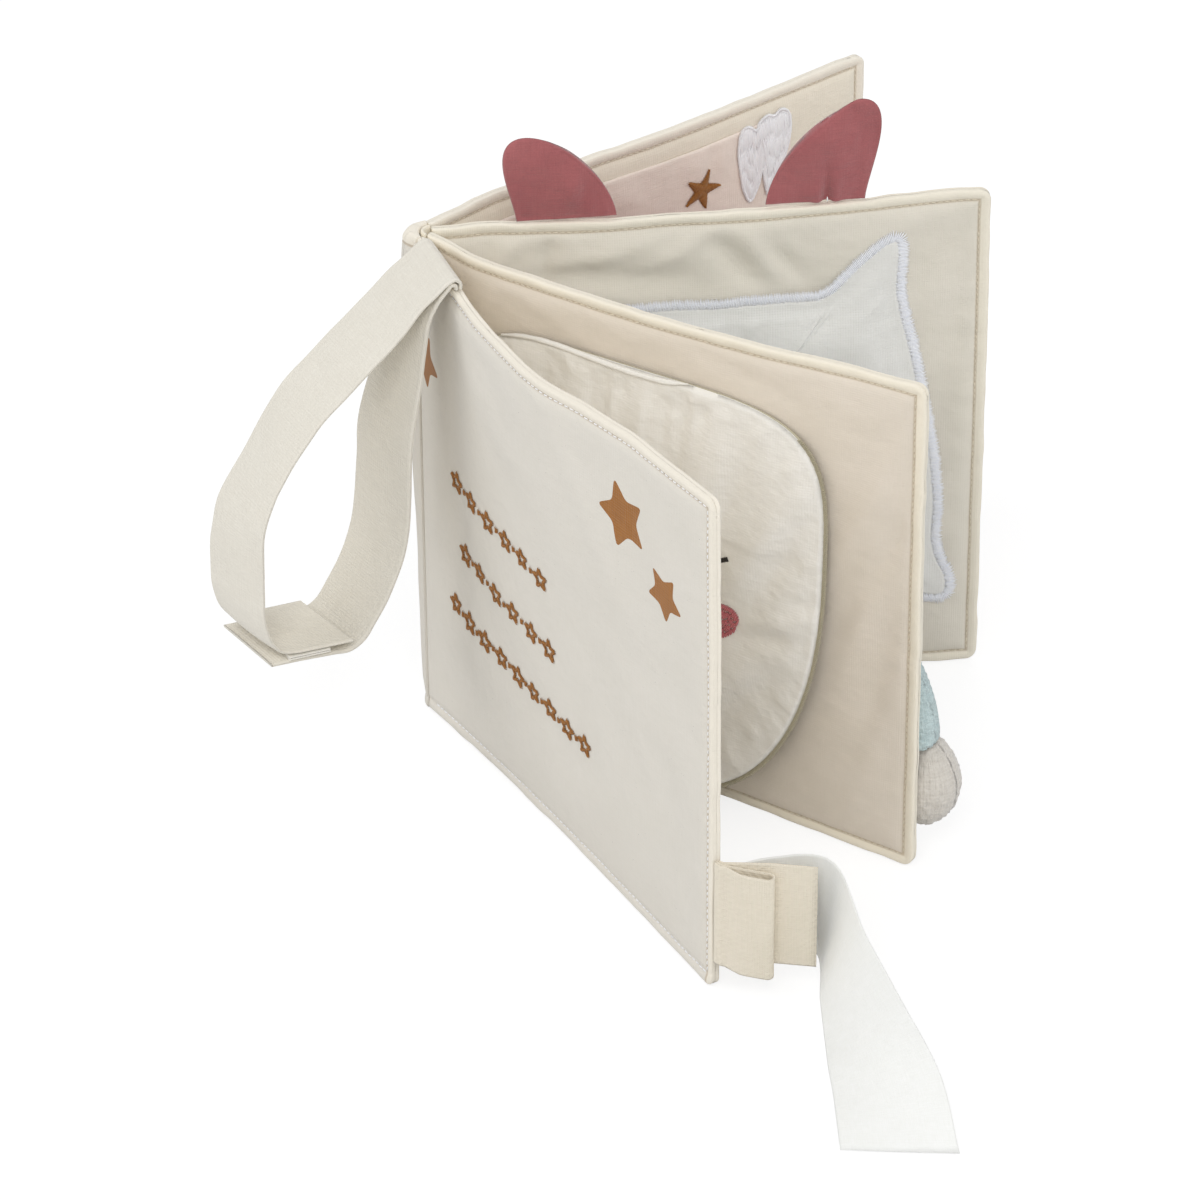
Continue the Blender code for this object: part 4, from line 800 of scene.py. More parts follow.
rise = np.array((0, 0, LABEL_HEIGHT))
bends = [BEND_REACH * k / 5 for k in range(6)]
straight = [BEND_REACH + (TAB_REACH - TAB_FOLD / 2 - BEND_REACH) * k / 6 for k in range(1, 7)]
near = [label_foot(3, x, 0.30) for x in bends]
near += [label_foot(3, x, 0.30, TAB_FOLD * min(1, k / 2.2)) for k, x in enumerate(straight, 1)]
far = [label_foot(2, x, 0.30) for x in bends + straight]
arm = (near[-1] - far[-1]) / 2
turns = np.linspace(0, math.pi, 9)[1:-1]
tip = [(near[-1] + far[-1]) / 2 + arm * math.cos(t) + LABEL_OUT * np.linalg.norm(arm) * math.sin(t) for t in turns]
tab = np.array(near + tip + far[::-1])
tape("folded_tab", "loop_label", tab, tab + rise, 0.00045, TAPE, 3)
straight = [BEND_REACH + (SHORT_LENGTH - BEND_REACH) * k / 10 for k in range(1, 11)]
short = np.array([label_foot(1, x, 0.10, max(x - TAB_REACH, 0) * 0.12) for x in bends + straight])
tape("small_label", "short_label", short, short + rise, 0.00035, TAPE, 4)
tape("satin_label", "long_label", long_edge(LOWER_EDGE, 0), long_edge(UPPER_EDGE, np.array((0, 0, LONG_WIDTH))),
     0.0003, SATIN, 5, 0.35)

# Pieces sewn onto the pages, as rings drawn in towards a centre

def oval(centre, width, height, top_share=1.0, foot_share=1.0):
    def outline(share):
        turn = 2 * math.pi * share
        x, y = np.cos(turn), np.sin(turn)
        fill = np.where(y > 0, top_share, foot_share)
        return (
            centre[0] + np.sign(x) * np.abs(x) ** fill * width / 2,
            centre[1] + np.sign(y) * np.abs(y) ** fill * height / 2,
        )
    return outline


def rings(outline, centre, count, around):
    """A polar grid: shares round the outline, reach from the centre to it, and the places."""
    reach = np.concatenate([np.linspace(0, 0.9, count), [0.93, 0.955, 0.975, 0.99, 1.0]])
    share = np.arange(around) / around
    x, y = outline(share)
    t, r = np.meshgrid(share, reach, indexing="ij")
    return t, r, centre[0] + (x[:, None] - centre[0]) * r, centre[1] + (y[:, None] - centre[1]) * r


def smooth_half(along, height):
    inset = np.minimum(np.minimum(WIDTH - along, height), HEIGHT - height)
    return np.minimum(profile(inset, SMOOTH_EDGE), profile(along - ROOT_GAP, ROOT_LOOK))


def on_leaf(leaf, side, along, height, proud):
    """Places that stand proud of a leaf's smooth face, as in the part's source."""
    depth = middle(leaf) - sway(leaf, along, height) + side * (smooth_half(along, height) + proud)
    return to_row(leaf, along, depth, height)


def dome(reach):
    return 1 - np.minimum(reach, 1) ** 3.0


def rim_distance(a, r, outline, centre):
    """How far each place of a polar grid lies in from the outline, straight to the centre."""
    x, y = outline(np.arange(len(a)) / len(a))
    return (1 - r) * np.hypot(x - centre[0], y - centre[1])[:, None]


def soft_distance(a, h, r, outline, centre):
    """Distance in from an outline, without ridges: even near the sides and smooth between them."""
    x, y = outline(np.arange(960) / 960)
    step = np.hypot(np.roll(x, -1) - x, np.roll(y, -1) - y)
    power = sum(((a - p) ** 2 + (h - q) ** 2 + 1e-7) ** -2 * w for p, q, w in zip(x, y, step))
    soft = (power * 2 / math.pi) ** (-1 / 3)
    straight = rim_distance(a, r, outline, centre) * 0.92
    share = ease(1.5 * MM, 4 * MM, straight)
    return np.minimum(straight, 3 * MM) * (1 - share) + soft * share


def satin_line(name, lines, width, place, normal, cloth, body, pitch=0.36, radius=0.2, lift=0.35, slot=None,
               jitter=0.12, slant=0.0):
    """Satin stitch along lines of (along, height): threads laid side by side across each."""
    starts, ends = [], []
    rng = np.random.default_rng(17)
    for points in lines:
        points = np.asarray(points, float)
        length = lengths(points)
        count = max(int(length[-1] / (pitch * MM)), 1)
        at = (np.arange(count) + 0.5) / count * length[-1]
        back, on, ahead = (
            np.stack([np.interp(at + step * MM, length, points[:, k]) for k in range(2)], -1) for step in (-0.3, 0, 0.3))
        run = ahead - back
        run /= np.maximum(np.linalg.norm(run, axis=1, keepdims=True), 1e-9)
        across = np.stack([-run[:, 1], run[:, 0]], -1) + run * slant
        wide = width(at / length[-1])[:, None] if callable(width) else width
        starts.append(on - across * (wide / 2 + rng.uniform(0, jitter, (count, 1))) * MM)
        ends.append(on + across * (wide / 2 + rng.uniform(0, jitter, (count, 1))) * MM)
    one, two = (place(*np.concatenate(points).T) for points in (starts, ends))
    return yarns(name, one, two, normal, radius, lift, cloth, body, slot)


def line_of(points, steps=10):
    return smooth_route(np.asarray(points, float) * MM, steps)


# The lift-up face on the first page

FLAP_WIDTH, FLAP_HEIGHT, FLAP_BROW, FLAP_TOP = 0.135, 0.155, 0.056, HEIGHT - 0.0195
FLAP_CENTRE = (0.081, FLAP_TOP - FLAP_HEIGHT / 2)
FLAP_TILT = math.tan(math.radians(3.1))
FLAP_RIM = [(0, 0.0), (0.25, 0.45), (0.7, 0.7), (1.5, 0.8), (2.6, 0.62), (4, 0.78), (6, 0.9)]
FLAP_FOLDS = [
    (128, 112, 62, 24, 5.0, 2.0), (134, 104, 62, 22, 4.2, -1.8), (118, 128, 78, 26, 5, -1.4),
    (135, 84, 20, 14, 3.4, 1.3), (132, 76, 18, 14, 3.2, -1.2), (122, 62, 40, 26, 6, 1.3),
    (118, 46, 46, 26, 5, -1.3), (104, 118, 86, 30, 5, 1.5), (60, 70, 60, 40, 7, 1.2),
    (44, 100, 110, 34, 6, -1.1), (70, 40, 10, 30, 6, 0.9),
]
FLAP_LIP = [(33, 157.6), (41, 159.8), (52.8, 160.7), (64, 160.3), (75, 159.7), (85, 159.4), (94, 159.9), (101.5, 161.3)]
flap_field = crumpled(201, 0.05, 0.35, round_rim=True)


def egg(wider=0.0):
    """The flap's outline: widest above its middle, and full at the brow."""
    brow = FLAP_CENTRE[0], FLAP_TOP - FLAP_BROW
    fine = np.linspace(0, 1, 2001)
    upper = oval(brow, FLAP_WIDTH + wider, 2 * FLAP_BROW, 0.5, 0.87)(fine)
    lower = oval(brow, FLAP_WIDTH + wider, 2 * (FLAP_HEIGHT - FLAP_BROW) + wider, 0.5, 0.87)(fine)
    return by_length(np.stack([np.where(upper[1] > brow[1], a, b) for a, b in zip(upper, lower)], -1))


def on_flap(a, h, proud):
    """Places on the flap, which tilts out from the page towards its foot."""
    return on_leaf("first_page", -1, a, h, (FLAP_TOP - h) * FLAP_TILT + proud)


def flap_proud(a, h, t, r, d):
    """The flap's front: puffed, crumpled over its film, gathered below its seam, puckered at its rim."""
    crumple = sample(flap_field, (a - FLAP_CENTRE[0]) / FLAP_WIDTH + 0.5, (h - FLAP_CENTRE[1]) / FLAP_HEIGHT + 0.5)
    crumple = crumple * 1.5 * MM * ease(2 * MM, 12 * MM, d)
    below = FLAP_TOP - h
    gather = bump(a, 79, 34, 4) * bump(below, 0, 44) * ease(2.2 * MM, 9 * MM, below)
    pucker = puckers(t, d, (92, 11, 6.5, 5, 0.8, 207), (210, 8, 3.5, 2.4, 0.35, 209))
    pucker = pucker + grain(a + below * 0.10, below, 3.6, 45, 2.1, 211) * gather
    pucker = pucker + grain(a + below * 0.15, below, 7.5, 60, 1.4, 213) * gather
    proud = 2.0 * profile(d, FLAP_RIM) + 1.2 * MM * dome(r) + crumple + pucker + folded(a, h, FLAP_FOLDS)
    return np.maximum(proud, 0.6 * MM * ease(0, 1.5 * MM, d)) + 1.2 * MM


outline = egg()
t, r, a, h = rings(outline, FLAP_CENTRE, 52, 420)
d = rim_distance(a, r, outline, FLAP_CENTRE)
sewn("face_front", on_flap(a, h, flap_proud(a, h, t, r, d)), on_flap(a, h, 1.4 * MM), FLAP, "face_flap", a, h,
     "flap_cotton", ["face_flap_front", "face_flap_film"])
t, r, a, h = rings(egg(1.6 * MM), FLAP_CENTRE, 20, 420)
h = np.minimum(h, FLAP_TOP)
made = sewn("face_back", on_flap(a, h, 1.25 * MM), on_flap(a, h, 0.65 * MM), FLAP_BACK, "face_flap", a, h,
            "flap_lining", ["face_flap_lining"])
FLAP_FINE = np.linspace(0, 1, 421)[:-1]
FLAP_LINE = egg()(FLAP_FINE)


def flap_point(a, h, proud=0.0):
    """Places on the flap's front, from its own puffed shape."""
    across, up = (np.asarray(x, float) - c for x, c in zip((a, h), FLAP_CENTRE))
    x, y = FLAP_LINE[0] - FLAP_CENTRE[0], FLAP_LINE[1] - FLAP_CENTRE[1]
    order = np.argsort(np.arctan2(y, x))
    turn, rim_turn = np.arctan2(up, across), np.arctan2(y, x)[order]
    share = np.unwrap(FLAP_FINE[order] * 2 * math.pi) / (2 * math.pi)
    far = np.interp(turn, rim_turn, np.hypot(x, y)[order], period=2 * math.pi)
    share = np.interp(turn, rim_turn, share, period=2 * math.pi) % 1
    reach = np.hypot(across, up) / far
    return on_flap(a, h, flap_proud(a, h, share, reach, (1 - reach) * far) + proud)


# Its rolled top seam with a loose end, its overlocked rim, its closed eyes and its cheeks

lip = line_of(FLAP_LIP, 14)
share = np.linspace(0, 1, len(lip))
thick = 0.95 * MM * np.interp(share, [0, 0.1, 0.4, 0.88, 0.93, 1.0], [0.3, 0.7, 1.0, 0.95, 0.5, 0.3])
thick = (thick * (1 + 0.08 * rough(share * 40, 0 * share, 221)))[:, None, None]
mid = on_leaf("first_page", -1, lip[:, 0], lip[:, 1], 2.7 * MM)
across = np.cross(np.gradient(mid, axis=0), OUT["first_page"])
across /= np.linalg.norm(across, axis=1, keepdims=True)
turn = np.linspace(0, 2 * math.pi, 12, endpoint=False)[None, :, None]
roll = mid[:, None] + thick * (np.cos(turn) * across[:, None] + np.sin(turn) * OUT["first_page"])
tube("flap_seam", roll, FLAP, "face_flap", np.stack(np.broadcast_arrays(share[:, None] * 40, turn[..., 0] * 1.3), -1),
     "flap_cotton")
rim = np.stack(egg(1.4 * MM)(np.linspace(0.25, 1.25, 900) % 1), -1)
satin_line("flap_overlock", [rim[rim[:, 1] < FLAP_TOP - 9 * MM]], 1.5, lambda a, h: on_flap(a, h, 1.35 * MM),
           OUT["first_page"], OVERLOCK, "face_flap", pitch=0.62, radius=0.22, lift=0.55, slant=0.5, jitter=0.25)
EYE = [(-12, 103), (-6, 99.2), (0, 98), (6, 99.2), (12, 102.8)]
LASHES = ((-4, -0.1), (1, 0.15), (6, 0.45))
CHEEK_RADIUS, CHEEK_PLACE, CHEEK_HEIGHT = 7.4, 31.5, 77.3
eyes, lashes, rows = [], [], []
rng = np.random.default_rng(23)
for side in (-1, 1):
    x0 = FLAP_CENTRE[0] / MM + side * 24
    eyes.append(line_of([(x0 + side * x, y) for x, y in EYE]))
    for k, turn_out in LASHES:
        lashes.append(line_of([(x0 + side * k, 98.8), (x0 + side * (k + 3.4 * turn_out), 94.8)], 6))
    for k in np.arange(-7, 7.01, 0.62):
        reach = math.sqrt(max(CHEEK_RADIUS**2 - k**2, 0)) * 0.97
        if reach > 1:
            x = FLAP_CENTRE[0] / MM + side * CHEEK_PLACE + k
            start, end = (np.array((x + way * 0.35 * reach, CHEEK_HEIGHT + way * reach)) for way in (-1, 1))
            parts = max(int(np.linalg.norm(end - start) / 2.6), 1)
            cut = np.linspace(0, 1, parts + 1)
            cut[1:-1] += rng.uniform(-0.06, 0.06, parts - 1)
            rows += [(*(start + (end - start) * u), *(start + (end - start) * v)) for u, v in zip(cut, cut[1:])]
satin_line("closed_eyes", eyes, 1.5, flap_point, OUT["first_page"], DARK_THREAD, "face_flap", lift=0.3)
satin_line("lashes", lashes, 1.0, flap_point, OUT["first_page"], DARK_THREAD, "face_flap", lift=0.25)
x1, y1, x2, y2 = np.array(rows).T * MM
yarns("cheeks", flap_point(x1, y1, 0.15 * MM), flap_point(x2, y2, 0.15 * MM), OUT["first_page"], 0.36, 0.35,
      ROSE_THREAD, "face_flap")

# The pillow on the second page

PILLOW_CENTRE = (0.090, 0.024 + 0.069)
PILLOW_SIDE = [
    (90, 148.6), (101, 149.2), (114, 149.3), (124.6, 149.6), (127.5, 151.4), (133, 157.6), (139.3, 163.1),
    (145, 167), (148.4, 168.1), (151.6, 166.6), (152.9, 162.3), (152.8, 156), (152.4, 148), (153.6, 140),
    (156.2, 129), (158.6, 117.5), (161.6, 102), (164.8, 82), (166.4, 64), (166.3, 49), (167.9, 43), (170.6, 37),
    (171.4, 31.6), (170, 27), (166.6, 25.2), (160, 26.4), (148, 29.5), (130, 31.2), (110, 31.8), (90, 32),
]
PILLOW_SWELL = [(0, 0), (0.6, 0.5), (3.2, 0.7), (4.2, 1.0), (6.5, 2.0), (12, 3.1), (24, 4.1), (44, 4.7), (70, 4.9)]
PILLOW_MIRROR, PILLOW_DROP_START, PILLOW_DROP = 0.955, 149.4, 0.7


def pillow_outline(inwards=0.0):
    """The pillow's cut: four soft pointed corners with the sides drawn in between them."""
    side = np.array(PILLOW_SIDE, float)
    other = side[::-1][1:-1] * (-PILLOW_MIRROR, 1) + (90 * (1 + PILLOW_MIRROR), 0)
    other[:, 1] -= np.maximum(other[:, 1] - PILLOW_DROP_START, 0) * PILLOW_DROP
    route = smooth_route(np.concatenate([side, other, side[:1]]) * MM, 10)
    run = np.gradient(route, axis=0)
    run[0] = run[-1] = run[0] + run[-1]
    run /= np.linalg.norm(run, axis=1, keepdims=True)
    return by_length(route + np.stack([run[:, 1], -run[:, 0]], -1) * inwards)


pillow_field = crumpled(301)
outline = pillow_outline(3.0 * MM)
t, r, a, h = rings(outline, PILLOW_CENTRE, 52, 480)
d = soft_distance(a, h, r, outline, PILLOW_CENTRE)
crumple = sample(pillow_field, (a - 0.013) / 0.154, (h - 0.024) / 0.138) * 1.0 * MM * ease(5 * MM, 16 * MM, d)
proud = 0.5 * MM + profile(d, PILLOW_SWELL) + crumple
proud = proud + puckers(t, d, (120, 9, 8, 3.6, 0.7, 307), (46, 16, 14, 7, 0.8, 309))
sewn("pillow_top", on_leaf("second_page", -1, a, h, proud), on_leaf("second_page", -1, a, h, 0.2 * MM), PILLOW,
     "second_page", a, h, "pillow_cotton", ["pillow_cover", "pillow_filling"])
line = np.stack(pillow_outline(1.8 * MM)(np.linspace(0, 1, 1200)), -1)
made = satin_line("pillow_edge", [line], 3.4, lambda a, h: on_leaf("second_page", -1, a, h, 0.75 * MM),
                  OUT["second_page"], BORDER, "second_page", pitch=0.52, radius=0.25, lift=0.5,
                  slot="satin_border", jitter=0.7, slant=0.15)
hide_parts("pillow_border")

# The ears and the head behind the second page

EAR_BASE = 0.032
EAR_RIM = [0, 0.008, 0.025, 0.055, 0.085, 0.12, 0.17], [0.0, 0.5, 0.85, 1.0, 0.86, 0.95, 1.05]


def ear(name, node, place, height, lean, seed, tuck=0.0, slim=0.0):
    """A flat stuffed ear above the page's seam, with a pleat at its base where tuck places one."""
    base = HEIGHT + SEAM_SEAT
    centre = place + lean * 0.15, base + height * 0.45

    def outline(share):
        side = share * 4
        turn = np.pi * np.clip(side - 1, 0, 3) / 3
        up = np.sin(turn) ** 0.8
        x = place + EAR_BASE / 2 * np.cos(turn) + lean * up**1.4
        x = x + slim * np.sin(turn) ** 2 * np.clip(-2 * np.cos(turn), 0, 1)
        flat = side < 1
        return np.where(flat, place - EAR_BASE / 2 + EAR_BASE * side, x), np.where(flat, base, base + height * up)

    t, r, a, h = rings(outline, centre, 22, 160)
    out = np.hypot((a - centre[0]) / (EAR_BASE / 2), (h - centre[1]) / (height * 0.55))
    rim = np.interp(1 - r, *EAR_RIM)
    half = (0.5 * MM + 1.9 * MM * (1 - np.minimum(out, 1) ** 2)) * rim
    seam = middle("second_page") - sway("second_page", np.array(place), np.array(HEIGHT))
    crease = grain(a, h, 5, 12, 0.8, seed) + grain(a, h, 2.2, 7, 0.25, seed + 1)
    aside = a - place - tuck
    pleat = 1.5 * bump(h - base, 1, 9) * bump(aside, 0, 1.5)
    pleat = pleat - 0.9 * bump(h - base, 1, 8) * bump(np.abs(aside), 3, 1.7)
    crease = crease * np.clip(rim, 0, 1) * (1 - 0.5 * ease(0.9, 1, r)) + pleat * MM * (tuck != 0)
    sewn(name, to_row("second_page", a, seam - half + crease, h), to_row("second_page", a, seam + half + crease * 0.6, h),
         ROSE, node, a, h, "rose_cotton", [node])


ear("ear_left_cloth", "left_ear", 0.0430, 0.0300, -0.0130, 401)
ear("ear_right_cloth", "right_ear", 0.1225, 0.0362, 0.0140, 411, tuck=0.0035, slim=0.0036)
foot = to_row("second_page", np.full(2, 0.1262), np.full(2, middle("second_page") - 1.9 * MM),
              HEIGHT + np.array([0.9, 2.6]) * MM)
yarns("ear_stitch", foot[:1], foot[1:], OUT["second_page"], 0.25, 0.3, WHITE_THREAD, "right_ear")


def edged(name, leaf, centre, width, height, fill, stitch_width, proud, cloth, **stitch):
    """Satin stitch round an oval patch on a leaf's back, 1 mm in from its rim."""
    rim = np.stack(oval(centre, width - 2 * MM, height - 2 * MM, fill, fill)(np.linspace(0, 1, 900)), -1)
    satin_line(name, [rim], stitch_width, lambda a, h: on_leaf(leaf, 1, a, h, proud * MM), -OUT[leaf], cloth, leaf,
               slot=slot_of(cloth), **stitch)


HEAD_WIDTH, HEAD_HEIGHT = 0.112, 0.104
HEAD_CENTRE = (0.083, HEIGHT - 0.009 - HEAD_HEIGHT / 2)
outline = oval(HEAD_CENTRE, HEAD_WIDTH, HEAD_HEIGHT, 0.85, 0.85)
t, r, a, h = rings(outline, HEAD_CENTRE, 30, 240)
d = rim_distance(a, r, outline, HEAD_CENTRE)
swell = profile(d, [(0, 0), (0.4, 0.7), (1.6, 0.9), (3, 1.0), (8, 1.9), (20, 2.7), (50, 3.1)])
swell = swell + grain(a, h, 14, 17, 0.6, 433) * ease(4 * MM, 12 * MM, d) + puckers(t, d, (110, 9, 7, 4, 0.5, 431))
sewn("head_cloth", on_leaf("second_page", 1, a, h, swell), on_leaf("second_page", 1, a, h, 0.2 * MM), ROSE,
     "second_page", a, h, "rose_cotton", ["head_patch", "head_padding"])
edged("head_edge", "second_page", HEAD_CENTRE, HEAD_WIDTH, HEAD_HEIGHT, 0.85, 2.2, 0.8, ROSE,
      pitch=0.4, radius=0.24, lift=0.7)

# The knitted leg, its paw and its patch

KNIT_TOP, KNIT_FOOT, LEG_CUFF = 0.0055, 0.0086, 0.0040
LEG_TOP, LEG_FOOT = (0.1360, 0.1010), (0.1715, 0.0405)


def stitches(u, v):
    """The surface of stocking stitch: u counts wales and v counts rows."""
    x = u - np.floor(u)
    lean = v + np.abs(x - 0.5) * 1.6
    return np.sin(np.pi * (lean - np.floor(lean))) ** 0.6 * np.abs(np.sin(2 * np.pi * x)) ** 0.5


def leg_line(share):
    """The leg's middle line and its radius, just clear of the page."""
    along = LEG_FOOT[0] - (LEG_FOOT[0] - LEG_TOP[0]) * (1 - share) ** 2
    height = LEG_TOP[1] + (LEG_FOOT[1] + LEG_CUFF - LEG_TOP[1]) * share
    part = (LEG_TOP[1] - height) / (LEG_TOP[1] - LEG_FOOT[1])
    reach = KNIT_TOP + (KNIT_FOOT - KNIT_TOP) * part + CLEARANCE * (1 + 2 * part)
    depth = middle("first_page") - sway("first_page", along, height) + smooth_half(along, height) + reach
    return along, depth, height, KNIT_TOP + (KNIT_FOOT - KNIT_TOP) * share


share = np.concatenate([[-0.012, -0.004], np.linspace(0, 1, 150), np.linspace(1.01, 1.066, 10)])
along, depth, height, radius = leg_line(np.clip(share, 0, 1))
height = height - (share - np.clip(share, 0, 1)) * (LEG_TOP[1] - LEG_FOOT[1])
path = np.stack([along, depth, height], -1)
run = np.gradient(path, axis=0)
run /= np.linalg.norm(run, axis=1, keepdims=True)
side = np.cross(run, np.array((0, 1.0, 0)))
side /= np.linalg.norm(side, axis=1, keepdims=True)
other = np.cross(side, run)
s, g = np.meshgrid(share, np.linspace(0, 2 * math.pi, 112, endpoint=False), indexing="ij")
close = np.interp(share, [-0.012, -0.004, 0.02, 1.0, 1.066], [0.35, 0.8, 1.0, 1.0, 0.93])
cuff = np.exp(-(((share - 1.03) / 0.022) ** 2)) * 0.5 * MM
radius = (radius * close + cuff - 0.6 * MM)[:, None]
radius = radius + stitches(g / (2 * math.pi) * 17 + s * 3.2, s * 27) * 0.8 * MM
grid = path[:, None, :] + radius[..., None] * (
    np.cos(g)[..., None] * side[:, None, :] + np.sin(g)[..., None] * other[:, None, :])
made = tube("leg_knit", to_row("first_page", *np.moveaxis(grid, -1, 0)), KNIT, "leg",
            np.stack([g * 8.5, s * 60], -1), "blue_knit")
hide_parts("knit_leg")

PAW_SIZE = np.array((0.0255, 0.0225, 0.0335))
PAW_PLACE, PAW_FOOT = 0.1745, 0.0085
u, v = np.meshgrid(np.linspace(0, math.pi, 60), np.linspace(0, 2 * math.pi, 90, endpoint=False), indexing="ij")
unit = np.stack([np.sin(u) * np.cos(v), np.sin(u) * np.sin(v), np.cos(u)], -1) * 0.5
unit[..., 2] = np.minimum(unit[..., 2], 0.46)
slim = 1 - 0.45 * np.maximum(unit[..., 2] + 0.05, 0) ** 1.5
fuzz = 1 + 0.02 * rough(v * 6, u * 12, 503) + 0.02 * rough(v * 13, u * 25, 505)
paw = np.array(PAW_PLACE), np.array(PAW_FOOT + PAW_SIZE[2] / 2)
paw_depth = (middle("first_page") - sway("first_page", *paw) + smooth_half(*paw) + CLEARANCE + PAW_SIZE[1] / 2)
unit = unit * PAW_SIZE * fuzz[..., None]
made = piece("paw_plush", to_row("first_page", paw[0] + unit[..., 0] * slim, paw_depth + unit[..., 1] * slim,
                                 paw[1] + unit[..., 2]),
             grid_faces(60, 90, wrap_rows=True), PLUSH, "leg", np.stack([v * 12, u * 11], -1), "white_plush")
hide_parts("plush_paw")

PATCH_WIDTH, PATCH_HEIGHT = 0.070, 0.056
PATCH_CENTRE = (0.108, 0.106 + PATCH_HEIGHT / 2)
t, r, a, h = rings(oval(PATCH_CENTRE, PATCH_WIDTH, PATCH_HEIGHT, 0.55, 0.55), PATCH_CENTRE, 60, 320)
out = np.hypot((a - PATCH_CENTRE[0]) / 0.035, (h - PATCH_CENTRE[1]) / 0.028)
lift = 0.7 * MM + 1.2 * MM * dome(out) + stitches(a / (2.6 * MM), h / (2.1 * MM)) * 0.7 * MM * (1 - ease(0.96, 1, r))
sewn("knit_patch_cloth", on_leaf("first_page", 1, a, h, lift), on_leaf("first_page", 1, a, h, 0.35 * MM), KNIT,
     "first_page", a, h, "blue_knit", ["knit_patch"])
edged("knit_edge", "first_page", PATCH_CENTRE, PATCH_WIDTH, PATCH_HEIGHT, 0.55, 2.0, 1.2, KNIT,
      pitch=0.8, radius=0.4, lift=0.6)

# The inset panel on the back cover's lining

INSET_WIDTH, INSET_HEIGHT, INSET_MARGIN = 0.137, 0.160, 0.010
RIM_LINES = np.array([0, 0.3, 0.8, 1.5, 2.5])
panel_field = crumpled(601)


def panel_point(a, h, proud=0.0):
    """Places on the inset panel's crumpled face."""
    inset = np.minimum(np.minimum(a - INSET_MARGIN, INSET_MARGIN + INSET_WIDTH - a),
                       np.minimum(h - INSET_MARGIN, INSET_MARGIN + INSET_HEIGHT - h))
    inset = np.maximum(inset, 0)
    pucker = grain(a, h, 4.5, 30, 0.9, 607) * bump(inset, 7, 6)
    crumple = sample(panel_field, (a - INSET_MARGIN) / INSET_WIDTH, (h - INSET_MARGIN) / INSET_HEIGHT)
    crumple = crumple * 0.8 * MM * ease(3 * MM, 14 * MM, inset)
    edge = profile(inset, [(0, 0.35), (0.3, 0.75), (1.0, 0.95), (2, 0.85)])
    return on_leaf("back_cover", -1, a, h, edge + np.maximum(pucker + crumple, -0.35 * MM) + proud)


alongs, heights = (
    INSET_MARGIN + np.concatenate([RIM_LINES, np.arange(4, size - 3.5, 1.6), size - RIM_LINES[::-1]]) * MM
    for size in (INSET_WIDTH / MM, INSET_HEIGHT / MM))
a, h = np.meshgrid(alongs, heights, indexing="ij")
sewn("inset_cloth", panel_point(a, h), on_leaf("back_cover", -1, a, h, 0.25 * MM), PANEL, "back_cover", a, h,
     "panel_cotton", ["inset_panel"], wrap=False)

# Its cloud of long white threads on a white base, and its embroidered star

CLOUD = [
    (124.2, 168.4), (126.6, 170.6), (129.4, 170.2), (131.2, 168.4), (133.4, 170.8), (136.8, 172.2), (139.4, 171),
    (142.4, 172.4), (145.2, 170.8), (146, 166.8), (145.2, 160), (143, 152.6), (139.6, 146), (136.6, 142.8),
    (134.9, 147.6), (133.4, 154.0), (131.8, 147.6), (128.8, 143), (126.2, 147.4), (124.6, 154.6), (123.8, 162),
    (124.4, 168.6),
]


def motif(name, outline, centre, place, low, high, cloth, body, slot=None, count=10, around=160):
    """A flat motif on a curved face, with a rounded rim; place(a, h, proud) gives its points."""
    t, r, a, h = rings(outline, centre, count, around)
    top = np.interp(1 - r, [0, 0.01, 0.025, 0.07], [0.2, 0.7, 0.9, 1.0]) * (high - low) + low
    uv = np.stack([a, h], -1) / MM
    return shell(name, place(a, h, top), place(a, h, low), cloth, body, uv, slot, wrap=True)


cloud = by_length(line_of(CLOUD, 8))
made = motif("cloud_base", cloud, (134.4 * MM, 159 * MM), panel_point, 0.05 * MM, 0.45 * MM, WHITE_THREAD,
             "back_cover", "white_thread")
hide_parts("cloud_motif")
ring = np.stack(cloud(np.linspace(0, 1, 500)), -1)
strands, rng = [], np.random.default_rng(31)
for x in np.arange(124.6, 145.6, 0.5):
    near = ring[np.abs(ring[:, 0] / MM - x) < 0.5, 1] / MM
    if len(near) > 1 and np.ptp(near) > 2:
        top, foot = near.max() - 0.4, near.min() + 0.4
        cuts = np.linspace(top, foot, max(int((top - foot) / 6.5), 1) + 1)
        cuts[1:-1] += rng.uniform(-1.2, 1.2, len(cuts) - 2)
        strands += [(x + rng.uniform(-0.15, 0.15), p, x + rng.uniform(-0.15, 0.15), q) for p, q in zip(cuts, cuts[1:])]
x1, y1, x2, y2 = np.array(strands).T * MM
yarns("cloud_strands", panel_point(x1, y1, 0.42 * MM), panel_point(x2, y2, 0.42 * MM), OUT["back_cover"], 0.34, 0.3,
      WHITE_THREAD, "back_cover")
satin_line("cloud_edge", [ring], 1.1, lambda a, h: panel_point(a, h, 0.35 * MM), OUT["back_cover"], WHITE_THREAD,
           "back_cover", pitch=0.42, radius=0.22, lift=0.5)
STAR_PLACE, STAR_REACH, STAR_TURN = (108.6, 154.2), 7.6, 68
arms = [np.array([STAR_PLACE, (STAR_PLACE[0] + STAR_REACH * math.cos(angle), STAR_PLACE[1] + STAR_REACH * math.sin(angle))])
        * MM for angle in np.radians(STAR_TURN + 72 * np.arange(5))]
